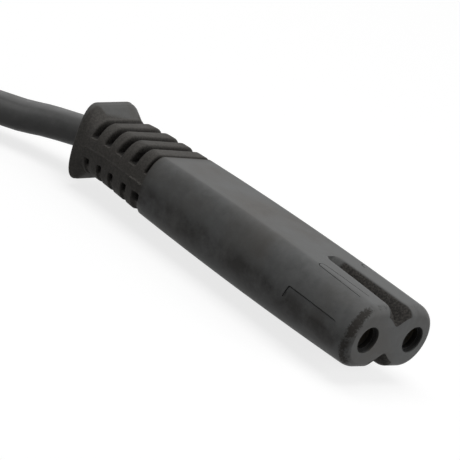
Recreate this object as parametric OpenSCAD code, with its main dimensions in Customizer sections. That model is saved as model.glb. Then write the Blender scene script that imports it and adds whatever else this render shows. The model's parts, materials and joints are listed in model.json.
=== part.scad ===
// Figure eight power connector on its lead: a moulded two-pole appliance connector with a
// ribbed strain relief, a flat twin cord and a flat two-pin plug.
// Frame: origin at the centre of the mating face, +X out of the face, +Y across the two
// contacts, +Z up. Sizes are in millimetres.

/* [Body] */
// Width of the body across both lobes, at the mating face
nose_w = 15.6; // [15:0.1:17]
// Height of the body at the mating face
nose_h = 7.9; // [7.6:0.1:8.6]
// Width half way along the body
waist_w = 13.4; // [13.2:0.1:14.4]
// Height half way along the body
waist_h = 8.5; // [8:0.1:9.2]
// Width where the body meets the strain relief
heel_w = 12.5; // [12:0.1:13.4]
// Height where the body meets the strain relief
heel_h = 7.7; // [7.4:0.1:8.6]
// Width of the flat on top and underneath
flat_w = 8.3; // [7.4:0.1:8.8]
// Length from the mating face to the strain relief
body_l = 37; // [34:0.5:40]
// Length of the rounding behind the mating face
face_round = 1.5; // [1:0.1:1.8]
// Depth of that rounding across the face
face_inset = 1; // [0.7:0.1:1.2]

/* [Grooves] */
// Length of the grooves between the lobes, from the mating face
groove_l = 12.6; // [10:0.1:14]
// Length of the curved run-out at the rear end of a groove
groove_ramp = 1.9; // [1.2:0.1:2.4]
// Width of a groove at the mating face
groove_w = 4; // [3.4:0.1:4.4]
// Width of a groove at the start of its run-out
groove_rear_w = 2.6; // [2.2:0.1:3.2]
// Depth of a groove at the start of its run-out
groove_rear_d = 1.5; // [1:0.1:1.8]
// Thickness of the web between the grooves at the mating face
web_t = 4; // [3.6:0.1:4.4]

/* [Grip marks] */
// Rear end of the marks, measured from the mating face
mark_rear = 11.2; // [10:0.1:12.4]
// Front end of the marks, measured from the mating face
mark_front = 3; // [2.6:0.1:5]
// Height of the flat pad on each side
pad_h = 1.6; // [1:0.1:2.2]
// Depth of the flat pad at its deepest
pad_d = 0.16; // [0.1:0.02:0.2]
// Width of an outlined tongue at its rear end
tongue_w = 0.9; // [0.7:0.1:1.2]
// Width of an outlined tongue at its front end
tongue_front_w = 1.5; // [1.2:0.1:1.8]
// Width of the line round a tongue
line_w = 0.14; // [0.1:0.02:0.2]
// Depth of the line round a tongue
line_d = 0.1; // [0.06:0.02:0.16]

/* [Contacts] */
// Spacing of the two contacts
contact_pitch = 8.6; // [8.6:0.1:8.7]
// Bore of a contact sleeve
contact_bore = 2.4; // [2.36:0.02:2.5]
// Wall of a contact sleeve
contact_wall = 0.35; // [0.25:0.05:0.4]
// Length of a contact sleeve
contact_l = 11; // [9:0.5:12]
// Depth of the sleeve's end behind the mating face
contact_recess = 2; // [1.6:0.1:2.6]
// Width of the rolled seam along a sleeve
seam_w = 0.3; // [0.2:0.05:0.5]
// Length of a crimp barrel
crimp_l = 5; // [4:0.5:6]
// Diameter of the moulded hole in front of a sleeve
mouth_d = 2.9; // [2.7:0.1:3]
// Diameter of the countersink at the mouth
lead_d = 3.5; // [3.2:0.1:3.7]
// Depth of the countersink
lead_l = 0.6; // [0.4:0.1:1]

/* [Carrier] */
// Outside diameter of the carrier's tubes
carrier_d = 4.3; // [4:0.1:4.5]
// Thickness of the bridge between the tubes
bridge_t = 1.8; // [1.4:0.1:2.2]
// Thickness of the plate at the carrier's rear end
plate_t = 1.2; // [0.8:0.1:1.6]
// Height of that plate
plate_h = 5.6; // [5:0.1:6.2]

/* [Strain relief] */
// Number of slots above and below
slots = 5; // [4:1:6]
// Middle of the first slot, behind the body
first_slot = 0.5; // [0.4:0.05:0.6]
// Spacing of the slots
slot_pitch = 2.48; // [2.3:0.02:2.6]
// Width of a slot
slot_w = 1; // [0.8:0.05:1.2]
// Width of the slot next to the body
first_slot_w = 0.45; // [0.3:0.05:0.8]
// Slope of a slot's walls, along the relief
slot_draft = 0.1; // [0.05:0.05:0.2]
// Height of the plain band along each side
band_h = 2.5; // [2:0.1:3]
// Width of the relief at its last rib
rib_w = 12; // [11:0.1:12.6]
// Height of the relief at its last rib
rib_h = 7.2; // [6.8:0.1:7.8]
// Width of the flat on the last rib
rib_flat_w = 6.2; // [5.6:0.1:7]
// Width of the solid core inside the slots
root_w = 9; // [8:0.1:10]
// Height of that core
root_h = 5.2; // [4.8:0.1:5.8]
// Length of the relief before it starts to bend
bend_start = 5.5; // [3:0.5:7]
// Angle that the relief has taken a set by
bend_angle = 12; // [8:1:16]
// Lean of that bend from straight down, towards the left side
bend_lean = 55; // [30:5:65]

/* [Flange] */
// Width across the middle of the end flange
flange_w = 11.5; // [11:0.1:12.4]
// Height of the end flange
flange_h = 10; // [9.4:0.1:10.4]
// Width of the flat on the end flange
flange_flat_w = 6.4; // [5.8:0.1:7]
// Length of the flange's rim
flange_rim = 1.1; // [0.9:0.1:1.6]
// Length of the slope in front of the rim
flange_slope = 1.6; // [1.2:0.1:2.2]
// Height of the flange at the foot of its slope
foot_h = 5.8; // [5.6:0.1:6.4]
// Height that the rim loses towards the front
rim_drop = 0.1; // [0:0.1:0.6]
// Radius of the flange's rear edge
rim_round = 0.3; // [0.2:0.1:0.5]

/* [Cord] */
// Width of the flat twin cord
cord_w = 5.8; // [5.4:0.1:6]
// Thickness of the cord
cord_t = 3.6; // [3.4:0.1:3.8]
// Diameter of one insulated core
core_d = 2.3; // [2.1:0.1:2.5]
// Diameter of a bare conductor
wire_d = 1.1; // [0.9:0.1:1.2]
// Length of bare cores between a crimp and the jacket
strip_l = 9; // [8:0.5:10]

/* [Hank] */
// Turns beside each other in the hank
hank_turns = 3; // [3:1:4]
// Layers of turns in the hank
hank_layers = 2; // [2:1:3]
// Length of the hank's straight runs
hank_run = 65; // [55:1:70]
// Radius at the middle of the innermost turn
hank_fold_r = 17.5; // [17.5:0.5:20]
// Air between neighbouring turns
turn_gap = 0.1; // [0.1:0.1:0.5]
// Width of a tie
tie_w = 4; // [3:0.5:6]
// Thickness of a tie
tie_t = 0.9; // [0.8:0.1:1.2]
// Size of the tie's locking head
tie_head = 4.4; // [4:0.2:5]

/* [Plug] */
// Width of the plug's face
plug_w = 35.3; // [35:0.1:35.5]
// Thickness of the plug
plug_t = 13.7; // [13.5:0.1:14]
// Length of the plug's body
plug_l = 36; // [34:0.5:38]
// Length of the full-width head of the plug
plug_head_l = 13; // [10:0.5:15]
// Width of the plug at its cord end
plug_tail_w = 12; // [10:0.5:14]
// Thickness of the plug at its cord end
plug_tail_t = 7.6; // [7:0.2:9]
// Spacing of the plug's pins
pin_pitch = 18.6; // [18.4:0.1:19]
// Diameter of a plug pin
pin_d = 4; // [3.94:0.02:4.06]
// Length of a plug pin outside the face
pin_l = 19; // [19:0.1:19.5]
// Length of the insulating sleeve on a pin
pin_sleeve_l = 10; // [9.5:0.1:10.5]
// Diameter of that sleeve
pin_sleeve_d = 3.6; // [3.5:0.05:3.7]

/* [Hidden] */
$fn = 48;

// Overrun of every cut
over = 1;
moulding_colour = [0.24, 0.24, 0.235];
carrier_colour = [0.12, 0.12, 0.12];
brass_colour = [0.8, 0.66, 0.3];
copper_colour = [0.78, 0.45, 0.3];
core_colours = [[0.35, 0.22, 0.14], [0.16, 0.3, 0.6]];
nickel_colour = [0.75, 0.75, 0.73];
tie_colour = [0.1, 0.1, 0.1];
left = -1;
right = 1;

// Rounding of the face, in steps
round_shares = [0.08, 0.3, 0.62, 1];
// Places along the body where the outline is drawn
body_shares = [0.1, 0.18, 0.48, 0.6, 0.72, 0.84];
// Places along the run-out of a groove
ramp_shares = [0, 0.35, 0.65, 0.85, 0.97];
// Places across half a groove, from its lip to its middle
groove_shares = [1, 0.75, 0.5, 0.25, 0];
// Power of the curve from lip to middle: over 1 rounds the lip
groove_power = 1.6;
// Steps from the side band up to the flat
shoulder_shares = [0, 0.14, 0.3, 0.48, 0.72, 1];
// Part of the face's rounding that a groove's lip and web take
lip_share = 0.6;
web_share = 0.25;

// Length of the relief as far as the flange, and in all
ribs_l = first_slot + (slots - 1) * slot_pitch + slot_w / 2;
relief_l = ribs_l + flange_slope + flange_rim;
root_flat = (root_w - root_h) / 2;
bend_r = (relief_l - bend_start) / (bend_angle * PI / 180);
bend_down = [-sin(bend_lean), -cos(bend_lean)];
bend_across = [cos(bend_lean), -sin(bend_lean)];

function mix(a, b, t) = a + (b - a) * t;
// A curve through a, b and c at t = 0, 0.5 and 1
function through(a, b, c, t) = a * (1 - t) * (1 - 2 * t) + 4 * b * t * (1 - t) + c * t * (2 * t - 1);
function clamp01(t) = min(1, max(0, t));

// s runs rearwards along the moulding: -body_l at the face, 0 at the heel, relief_l at the end
function along(s) = clamp01(1 + s / body_l);
function on_ribs(s) = clamp01(s / ribs_l);
function half_w(s) = s < 0 ? through(nose_w, waist_w, heel_w, along(s)) / 2
                           : mix(heel_w, rib_w, on_ribs(s)) / 2;
function half_h(s) = s < 0 ? through(nose_h, waist_h, heel_h, along(s)) / 2
                           : mix(heel_h, rib_h, on_ribs(s)) / 2;
function half_flat(s) = mix(flat_w, rib_flat_w, on_ribs(s)) / 2;

// Groove: depth and half width at a distance from the face
groove_full = groove_l - groove_ramp;
face_groove_d = (nose_h - web_t) / 2;
function runout(d) = clamp01((d - groove_full) / groove_ramp);
function groove_depth(d) = mix(face_groove_d, groove_rear_d, clamp01(d / groove_full))
                           * sqrt(1 - pow(runout(d), 2));
function groove_half(d) = mix(groove_w, groove_rear_w, clamp01(d / groove_full)) / 2;

// Inset of the outline at a distance from the face
function inset(d) = face_inset * (1 - sqrt(1 - pow(1 - clamp01(d / face_round), 2)));

// Angles round a shoulder: the side band first, then up to the flat
function shoulder_angles(h) =
  let (band = asin(band_h / 2 / h))
  concat([0, band], [for (t = [for (i = [1:len(shoulder_shares) - 1]) shoulder_shares[i]])
    mix(band, 90, t)]);

// Quarter outline: half width, half height, half flat, groove depth and groove half width
function quarter(w, h, f, gd, gw) = concat(
  [for (a = shoulder_angles(h)) [f + (w - f) * cos(a), h * sin(a)]],
  [for (g = groove_shares) [gw * g, h - gd * pow(1 - g, groove_power)]]);

// Quarter outline inside a slot: the side band stays, the rest goes in to the root
function slot_quarter(w, h, f) =
  let (outer = quarter(w, h, f, 0, groove_rear_w / 2),
       inner = quarter(root_w / 2, root_h / 2, root_flat, 0, groove_rear_w / 2))
  [for (i = [0:len(outer) - 1]) i < 2 ? outer[i] : inner[i]];

// The whole outline from a quarter
function outline(q) =
  let (n = len(q))
  concat(q,
    [for (i = [n - 2:-1:0]) [-q[i][0], q[i][1]]],
    [for (i = [1:n - 1]) [-q[i][0], -q[i][1]]],
    [for (i = [n - 2:-1:1]) [q[i][0], -q[i][1]]]);

// Place in space of a point of the outline at s, with the set of the relief
function set_angle(s) = max(0, s - bend_start) / bend_r * 180 / PI;
function place(s, p) =
  let (t = set_angle(s),
       straight = min(s, bend_start),
       a = p * bend_down,
       b = p * bend_across,
       drop = bend_r * (1 - cos(t)) + a * cos(t),
       flat = bend_down * drop + bend_across * b)
  [-body_l - straight - bend_r * sin(t) + a * sin(t), flat[0], flat[1]];

function body_ring(d) =
  let (s = d - body_l,
       o = inset(d),
       h = half_h(s) - o)
  [s, outline(quarter(half_w(s) - o, h, half_flat(s),
    max(0, min(groove_depth(d), groove_depth(d) - o * (1 - web_share))),
    groove_half(d) + o * lip_share))];
function rib_ring(s) = [s, outline(quarter(half_w(s), half_h(s), half_flat(s), 0, groove_rear_w / 2))];
function slot_ring(s) = [s, outline(slot_quarter(half_w(s), half_h(s), half_flat(s)))];
function flange_ring(s, w, h) = [s, outline(quarter(w, h, flange_flat_w / 2, 0, groove_rear_w / 2))];

function slot_middle(i) = first_slot + i * slot_pitch;
function slot_width(i) = i == 0 ? first_slot_w : slot_w;

// The skin starts just in front of the face, and is cut off flat there
face_step = 0.03;
moulding_rings = concat(
  [body_ring(-face_step)],
  [for (t = round_shares) body_ring(t * face_round)],
  [for (t = body_shares) if (t * body_l < groove_full) body_ring(t * body_l)],
  [for (t = ramp_shares) body_ring(groove_full + t * groove_ramp)],
  [body_ring(groove_l)],
  [for (t = body_shares) if (t * body_l > groove_l) body_ring(t * body_l)],
  [rib_ring(0)],
  [for (i = [0:slots - 1]) for (k = [0:3])
    let (m = slot_middle(i), w = slot_width(i) / 2)
    k == 0 ? rib_ring(m - w) :
    k == 1 ? slot_ring(m - w + slot_draft) :
    k == 2 ? slot_ring(m + w - slot_draft) :
    i < slots - 1 ? rib_ring(m + w) : flange_ring(m + w, rib_w / 2, foot_h / 2)],
  [flange_ring(ribs_l + flange_slope, flange_w / 2, flange_h / 2 - rim_drop),
   flange_ring(relief_l - rim_round, flange_w / 2, flange_h / 2),
   flange_ring(relief_l, flange_w / 2 - rim_round, flange_h / 2 - rim_round)]);

// A closed skin through rings that have the same number of points, drawn front to rear
module skin(rings) {
  n = len(rings[0]);
  last = len(rings) - 1;
  polyhedron(
    points = [for (r = rings) for (p = r) p],
    faces = concat(
      [[for (i = [n - 1:-1:0]) i]],
      [for (k = [0:last - 1]) for (i = [0:n - 1])
        let (a = k * n + i, b = k * n + (i + 1) % n)
        for (f = [[a, b, a + n], [b, b + n, a + n]]) f],
      [[for (i = [0:n - 1]) last * n + i]]));
}

// A flat shape in Y and Z, drawn out along X
module along_x(from, to) {
  translate([from, 0, 0])
    rotate([0, 90, 0])
      linear_extrude(to - from)
        rotate([0, 0, 90])
          children();
}

// A turned piece about X, from points that give radius and place along X
module turned(points) {
  rotate([0, 90, 0])
    rotate_extrude()
      polygon(points);
}

module at_contact(side) {
  translate([0, side * contact_pitch / 2, 0])
    children();
}

// Cross-section of the flat cord, width along X
module cord_section() {
  square([cord_w - cord_t, cord_t], center = true);
  for (k = [left, right])
    translate([k * (cord_w - cord_t) / 2, 0])
      circle(d = cord_t);
}

// Contact: places along X, front to rear
sleeve_front = -contact_recess;
sleeve_rear = sleeve_front - contact_l;
neck_l = 1.5;
step_l = 0.5;
wire_crimp_share = 0.6;
wire_crimp_front = sleeve_rear - neck_l;
wire_crimp_rear = wire_crimp_front - crimp_l * wire_crimp_share;
core_front = wire_crimp_rear - step_l;
crimp_rear = core_front - crimp_l * (1 - wire_crimp_share);

// Half outline of a rolled contact, at a distance off its bore
function contact_side(off) = [
  [contact_bore / 2 + off, sleeve_front], [contact_bore / 2 + off, sleeve_rear],
  [wire_d / 2 + off, wire_crimp_front], [wire_d / 2 + off, wire_crimp_rear],
  [core_d / 2 + off, core_front], [core_d / 2 + off, crimp_rear]
];
function backwards(list) = [for (i = [len(list) - 1:-1:0]) list[i]];

module contact(side) {
  color(brass_colour)
    at_contact(side)
      difference() {
        turned(concat(contact_side(contact_wall), backwards(contact_side(0))));
        translate([crimp_rear - over, -seam_w / 2, 0])
          cube([sleeve_front - crimp_rear + 2 * over, seam_w, contact_bore]);
      }
}

module contact_space() {
  for (side = [left, right])
    at_contact(side)
      turned(concat(contact_side(contact_wall), [[0, crimp_rear], [0, sleeve_front]]));
}

// Carrier: two tubes, the bridge between them and a plate behind
carrier_lip = 0.8;
carrier_front = sleeve_front + carrier_lip;
plate_front = sleeve_rear - step_l;
plate_rear = plate_front - plate_t;
plate_rim = 2;

module carrier_shape() {
  along_x(plate_front, carrier_front) {
    square([contact_pitch, bridge_t], center = true);
    for (side = [left, right])
      translate([side * contact_pitch / 2, 0])
        circle(d = carrier_d);
  }
  along_x(plate_rear, plate_front) {
    plate_r = plate_h / 2;
    plate_half = contact_pitch / 2 + plate_rim - plate_r;
    square([2 * plate_half, plate_h], center = true);
    for (side = [left, right])
      translate([side * plate_half, 0])
        circle(r = plate_r);
  }
}

module contact_carrier() {
  color(carrier_colour)
    difference() {
      carrier_shape();
      for (side = [left, right])
        at_contact(side) {
          along_x(plate_rear - over, sleeve_front)
            circle(d = contact_bore + 2 * contact_wall);
          along_x(sleeve_front - over, carrier_front + over)
            circle(d = mouth_d);
        }
    }
}

// An insulated core or its wire: out of the jacket, then apart to its contact
core_y = core_d / 2 + turn_gap / 2;
jacket_from = crimp_rear - strip_l;
core_end = -body_l - bend_start;
fan_shares = [0, 0.2, 0.4, 0.6, 0.8, 1];
round_sides = 12;
function eased(t) = t * t * (3 - 2 * t);
function round_ring(x, y, d) =
  [for (k = [0:round_sides - 1]) let (a = k * 360 / round_sides)
    [x, y + d / 2 * cos(a), d / 2 * sin(a)]];

module fanned(side, d, front, fan_from, fan_to, rear, wide) {
  skin(concat(
    [round_ring(front, side * wide, d)],
    [for (t = fan_shares) round_ring(mix(fan_from, fan_to, t), side * mix(wide, core_y, eased(t)), d)],
    [round_ring(rear, side * core_y, d)]));
}

module in_body_core(side, d, front) {
  fanned(side, d, front, crimp_rear - step_l, jacket_from + step_l, core_end, contact_pitch / 2);
}

module core(side) {
  color(core_colours[side == left ? 0 : 1])
    difference() {
      in_body_core(side, core_d, core_front);
      in_body_core(side, wire_d, core_front + over);
      translate([core_end - over, side * core_y, 0])
        rotate([0, 90, 0])
          cylinder(d = wire_d, h = 2 * over, $fn = round_sides);
    }
}

module wire(side) {
  color(copper_colour)
    in_body_core(side, wire_d, wire_crimp_front);
}

// Jacket end: straight inside the body, then along the set of the relief
module jacket_path() {
  along_x(core_end, jacket_from)
    cord_section();
  translate([core_end, 0, 0])
    rotate([-bend_lean, 0, 0])
      translate([0, 0, -bend_r])
        rotate([90, 0, 0])
          rotate([0, 0, 90])
            rotate_extrude(angle = bend_angle)
              translate([bend_r, 0])
                rotate(bend_lean - 90)
                  cord_section();
}

module cord_jacket_end() {
  color(moulding_colour)
    difference() {
      jacket_path();
      for (side = [left, right])
        in_body_core(side, core_d, core_front);
    }
}

// Grip marks: a flat pad on each side and an outlined tongue on top of each lobe
tongue_y = 3.4;
function at_face(d) = d - body_l;

module pad(side) {
  translate([0, 0, -pad_h / 2])
    linear_extrude(pad_h)
      polygon([for (p = [[mark_front, -pad_d], [mark_rear, -pad_d], [mark_rear, over], [mark_front, over]])
        [-p[0], side * (half_w(at_face(p[0])) + p[1])]]);
}

module tongue_shape(grow) {
  rear_r = tongue_w / 2;
  translate([rear_r - mark_rear, 0])
    circle(r = rear_r + grow, $fn = round_sides);
  polygon([for (k = [left, right]) for (p = [[rear_r - mark_rear, tongue_w], [-mark_front, tongue_front_w]])
    k == left ? [p[0], k * (p[1] / 2 + grow)]
              : [-mark_front - mark_rear + rear_r - p[0], k * ((tongue_w + tongue_front_w - p[1]) / 2 + grow)]]);
}

module tongue_line(side) {
  intersection() {
    translate([0, side * tongue_y, 0])
      linear_extrude(nose_h)
        difference() {
          tongue_shape(line_w / 2);
          tongue_shape(-line_w / 2);
        }
    rotate([90, 0, 0])
      linear_extrude(nose_w, center = true)
        polygon([
          [-mark_rear - over, half_h(at_face(mark_rear)) - line_d],
          [-mark_front - line_w, half_h(at_face(mark_front)) - line_d / 4],
          [-mark_front - line_w, nose_h], [-mark_rear - over, nose_h]
        ]);
  }
}

module moulding() {
  difference() {
    skin([for (r = moulding_rings) [for (p = r[1]) place(r[0], p)]]);
    translate([0, -nose_w, -nose_h])
      cube([over, 2 * nose_w, 2 * nose_h]);
  }
}

module connector_housing() {
  color(moulding_colour)
    difference() {
      moulding();
      carrier_shape();
      contact_space();
      jacket_path();
      for (side = [left, right]) {
        at_contact(side)
          turned([
            [0, carrier_front - over], [mouth_d / 2, carrier_front - over], [mouth_d / 2, -lead_l],
            [lead_d / 2 + over * (lead_d - mouth_d) / 2 / lead_l, over], [0, over]
          ]);
        in_body_core(side, core_d, core_front);
        pad(side);
        tongue_line(side);
      }
    }
}

// Cord: a flat ring at each point of its route, turned on its edge where it is coiled
cord_turned = 90;
cord_corner = 30;
cord_ring_shape = [for (a = [360 - cord_corner / 2:-cord_corner:0])
  [sign(cos(a)) * (cord_w - cord_t) / 2 + cord_t / 2 * cos(a), cord_t / 2 * sin(a)]];
function unit(v) = v / norm(v);
function cord_ring(p, ahead, turn) =
  let (level = unit(cross([0, 0, 1], ahead)),
       upward = cross(unit(ahead), level),
       wide = level * cos(turn) + upward * sin(turn),
       thick = upward * cos(turn) - level * sin(turn))
  [for (c = cord_ring_shape) p + wide * c[0] + thick * c[1]];
function cord_rings(route, turns) =
  let (last = len(route) - 1)
  [for (i = [0:last]) cord_ring(route[i], route[min(i + 1, last)] - route[max(i - 1, 0)], turns[i])];

// Route from the relief to the hank, after the exit, and from the hank to the plug
exit_point = place(relief_l, [0, 0]);
exit_ring = [for (c = cord_ring_shape) place(relief_l, [-c[0], c[1]])];
lead_route = [
  [-52.8, -1.2, -0.7], [-55.2, -2, -1.2], [-57.6, -3.2, -1.7], [-60, -4.8, -2.3], [-63.4, -7.6, -2.6],
  [-66.4, -11.2, -2.5], [-68.8, -15.2, -2.4], [-70.4, -19.4, -2.4], [-71, -24, -2.4]
];
tail_route = [
  [-76.1, -38.8, 3.5], [-80.4, -43.2, 4.3], [-85.5, -46.4, 5.6], [-91.2, -48.2, 7.2], [-97, -48.4, 8.5],
  [-102.6, -47.1, 9.3], [-108, -44.8, 10], [-113.2, -41.8, 10.6], [-118.2, -38.5, 11.1],
  [-123.2, -35.1, 11.5], [-128.4, -31.9, 12], [-133.6, -28.9, 12.5], [-139, -26.4, 12.9],
  [-144.2, -24.6, 13.2], [-148, -24, 13.3], [-150, -24, 13.3]
];

// Hank: level turns on edge, its front fold where the route reaches it
turn_pitch = cord_t + turn_gap;
outer_turn_r = hank_fold_r + (hank_turns - 1) * turn_pitch;
hank_front = lead_route[len(lead_route) - 1] - [outer_turn_r, 0, cord_w / 2];
hank_h = hank_layers * cord_w + (hank_layers - 1) * turn_gap;

module fold_shape(r) {
  for (x = [0, -hank_run])
    translate([x, 0])
      circle(r = r);
  translate([-hank_run, -r])
    square([hank_run, 2 * r]);
}

module hank_shape() {
  translate(hank_front)
    linear_extrude(hank_h)
      difference() {
        fold_shape(outer_turn_r + cord_t / 2);
        fold_shape(hank_fold_r - cord_t / 2);
      }
}

module cord_hank() {
  color(moulding_colour)
    hank_shape();
}

// The cord leaves the relief flat, and turns on its edge in the rest of the lead
flat_share = 0.35;
lead_turns = [for (i = [0:len(lead_route)])
  cord_turned * eased(clamp01((i / len(lead_route) - flat_share) / (1 - flat_share)))];
tail_turns = [for (i = [0:len(tail_route) - 1]) cord_turned * (1 - i / (len(tail_route) - 1))];
lead_rings = cord_rings(concat([exit_point], lead_route), lead_turns);
module cord_run() {
  color(moulding_colour)
    difference() {
      skin(concat([exit_ring], [for (i = [1:len(lead_route)]) lead_rings[i]]));
      hank_shape();
    }
}

module cord_tail() {
  color(moulding_colour)
    difference() {
      skin(cord_rings(tail_route, tail_turns));
      hank_shape();
    }
}

// Ties: a band round the turns on each side, with its locking head inside the hank
tie_shares = [0.62, 0.38];
module cord_tie(side) {
  inner = hank_fold_r - cord_t / 2;
  deep = outer_turn_r + cord_t / 2 - inner;
  share = side == left ? tie_shares[0] : tie_shares[1];
  color(tie_colour)
    translate(hank_front + [-hank_run * share, side * (inner + deep / 2), hank_h / 2]) {
      difference() {
        cube([tie_w, deep + 2 * tie_t, hank_h + 2 * tie_t], center = true);
        cube([tie_w + 2 * over, deep, hank_h], center = true);
      }
      translate([0, -side * ((deep + tie_head) / 2 + tie_t), 0])
        cube([tie_w, tie_head, tie_head], center = true);
    }
}

// Plug: its own frame has the face at the origin and the pins along +X
plug_end = tail_route[len(tail_route) - 1];
plug_face = plug_end - [plug_l, 0, 0];
plug_bevel = 4.6;
plug_taper_share = 0.45;
plug_shoulder_share = 0.6;
plug_slots = 3;
plug_slot_share = 0.07;
plug_core_wall = 1.2;
bridge_front = -1.5;
bridge_l = 7;
bridge_h = 6.4;
bridge_rim = 4;
pin_shank_d = 3;
pin_tip = 0.9;
collar_l = 1.4;
collar_d = 4.6;
plug_crimp_l = 4;
plug_strip_l = 12;
bridge_rear = bridge_front - bridge_l;
collar_rear = bridge_rear - collar_l;
plug_crimp_rear = collar_rear - plug_crimp_l;
plug_jacket_front = plug_crimp_rear - plug_strip_l;
plug_core_end = -plug_l + over;

module in_plug() {
  translate(plug_face)
    rotate([0, 0, 180])
      children();
}

module at_pin(side) {
  translate([0, side * pin_pitch / 2, 0])
    children();
}

module plug_shape() {
  taper_end = -plug_head_l - (plug_l - plug_head_l) * plug_taper_share;
  intersection() {
    translate([0, 0, -plug_t / 2])
      linear_extrude(plug_t)
        polygon([for (k = [left, right]) for (p = k == left
          ? [[0, plug_w], [-plug_head_l, plug_w], [taper_end, plug_w * plug_shoulder_share], [-plug_l, plug_tail_w]]
          : [[-plug_l, plug_tail_w], [taper_end, plug_w * plug_shoulder_share], [-plug_head_l, plug_w], [0, plug_w]])
          [p[0], k * p[1] / 2]]);
    rotate([90, 0, 0])
      linear_extrude(plug_w, center = true)
        polygon([
          [0, -plug_t / 2], [0, plug_t / 2], [-plug_head_l, plug_t / 2], [-plug_l, plug_tail_t / 2],
          [-plug_l, -plug_tail_t / 2], [-plug_head_l, -plug_t / 2]
        ]);
    along_x(-plug_l, 0)
      polygon([for (q = [[1, 1], [-1, 1], [-1, -1], [1, -1]]) for (p = q[0] * q[1] > 0
        ? [[plug_w / 2, plug_t / 2 - plug_bevel], [plug_w / 2 - plug_bevel, plug_t / 2]]
        : [[plug_w / 2 - plug_bevel, plug_t / 2], [plug_w / 2, plug_t / 2 - plug_bevel]])
        [q[0] * p[0], q[1] * p[1]]]);
  }
}

module plug_slot(i) {
  wide = plug_l * plug_slot_share / 2;
  translate([-plug_l + (2 * i + 2) * wide, 0, 0])
    difference() {
      cube([wide, plug_w, plug_t], center = true);
      cube([wide + 2 * over, cord_w + 2 * plug_core_wall, plug_t], center = true);
      cube([wide + 2 * over, plug_w, cord_t + 2 * plug_core_wall], center = true);
    }
  translate([-plug_l + (2 * i + 2) * wide, 0, 0])
    difference() {
      cube([wide, cord_w + 2 * plug_core_wall + over, plug_t], center = true);
      cube([wide + 2 * over, plug_w, cord_t + 2 * plug_core_wall], center = true);
    }
}

module plug_bridge_block() {
  translate([bridge_rear, -pin_pitch / 2 - bridge_rim, -bridge_h / 2])
    cube([bridge_l, pin_pitch + 2 * bridge_rim, bridge_h]);
}

// Pin: tip, sleeved shank, collar behind the bridge, crimp barrel
pin_outline = [
  [0, pin_l], [pin_d / 2 - pin_tip, pin_l], [pin_d / 2, pin_l - pin_tip], [pin_d / 2, pin_sleeve_l],
  [pin_shank_d / 2, pin_sleeve_l], [pin_shank_d / 2, bridge_rear], [collar_d / 2, bridge_rear],
  [collar_d / 2, collar_rear], [wire_d / 2 + contact_wall, collar_rear],
  [wire_d / 2 + contact_wall, plug_crimp_rear]
];

module plug_pin(side) {
  color(nickel_colour)
    in_plug()
      at_pin(side)
        turned(concat(pin_outline,
          [[wire_d / 2, plug_crimp_rear], [wire_d / 2, collar_rear], [0, collar_rear]]));
}

module plug_sleeve(side) {
  color(carrier_colour)
    in_plug()
      at_pin(side)
        turned([
          [pin_shank_d / 2, bridge_rear], [pin_sleeve_d / 2, bridge_rear],
          [pin_sleeve_d / 2, pin_sleeve_l], [pin_shank_d / 2, pin_sleeve_l]
        ]);
}

module in_plug_core(side, d, front) {
  fanned(side, d, front, plug_crimp_rear - 2 * step_l, plug_jacket_front + step_l, plug_core_end,
    pin_pitch / 2);
}

module plug_core(side) {
  color(core_colours[side == left ? 0 : 1])
    in_plug()
      difference() {
        in_plug_core(side, core_d, plug_crimp_rear);
        in_plug_core(side, wire_d, plug_crimp_rear + over);
      }
}

module plug_wire(side) {
  color(copper_colour)
    in_plug()
      in_plug_core(side, wire_d, collar_rear);
}

module plug_jacket_end() {
  color(moulding_colour)
    in_plug()
      difference() {
        along_x(-plug_l, plug_jacket_front)
          cord_section();
        for (side = [left, right])
          in_plug_core(side, core_d, plug_crimp_rear);
      }
}

module plug_bridge() {
  color(carrier_colour)
    in_plug()
      difference() {
        plug_bridge_block();
        for (side = [left, right])
          at_pin(side)
            along_x(bridge_rear - over, bridge_front + over)
              circle(d = pin_sleeve_d);
      }
}

module plug_body() {
  color(moulding_colour)
    in_plug()
      difference() {
        plug_shape();
        plug_bridge_block();
        for (side = [left, right]) {
          at_pin(side)
            turned(concat(
              [[0, over], [pin_sleeve_d / 2, over], [pin_sleeve_d / 2, bridge_rear]],
              [for (i = [6:len(pin_outline) - 1]) pin_outline[i]], [[0, plug_crimp_rear]]));
          in_plug_core(side, core_d, plug_crimp_rear);
        }
        along_x(-plug_l - over, plug_jacket_front)
          cord_section();
        for (i = [0:plug_slots - 1])
          plug_slot(i);
      }
}

// Each of a pair of pieces by its side
module contact_left() {
  contact(left);
}

module contact_right() {
  contact(right);
}

module core_left() {
  core(left);
}

module core_right() {
  core(right);
}

module wire_left() {
  wire(left);
}

module wire_right() {
  wire(right);
}

module cord_tie_left() {
  cord_tie(left);
}

module cord_tie_right() {
  cord_tie(right);
}

module plug_pin_left() {
  plug_pin(left);
}

module plug_pin_right() {
  plug_pin(right);
}

module plug_sleeve_left() {
  plug_sleeve(left);
}

module plug_sleeve_right() {
  plug_sleeve(right);
}

module plug_core_left() {
  plug_core(left);
}

module plug_core_right() {
  plug_core(right);
}

module plug_wire_left() {
  plug_wire(left);
}

module plug_wire_right() {
  plug_wire(right);
}

connector_housing();
contact_carrier();
contact_left();
contact_right();
core_left();
core_right();
wire_left();
wire_right();
cord_jacket_end();
cord_run();
cord_hank();
cord_tail();
cord_tie_left();
cord_tie_right();
plug_body();
plug_bridge();
plug_pin_left();
plug_pin_right();
plug_sleeve_left();
plug_sleeve_right();
plug_core_left();
plug_core_right();
plug_wire_left();
plug_wire_right();
plug_jacket_end();
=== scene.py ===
"""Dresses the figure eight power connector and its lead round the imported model."""

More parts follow.
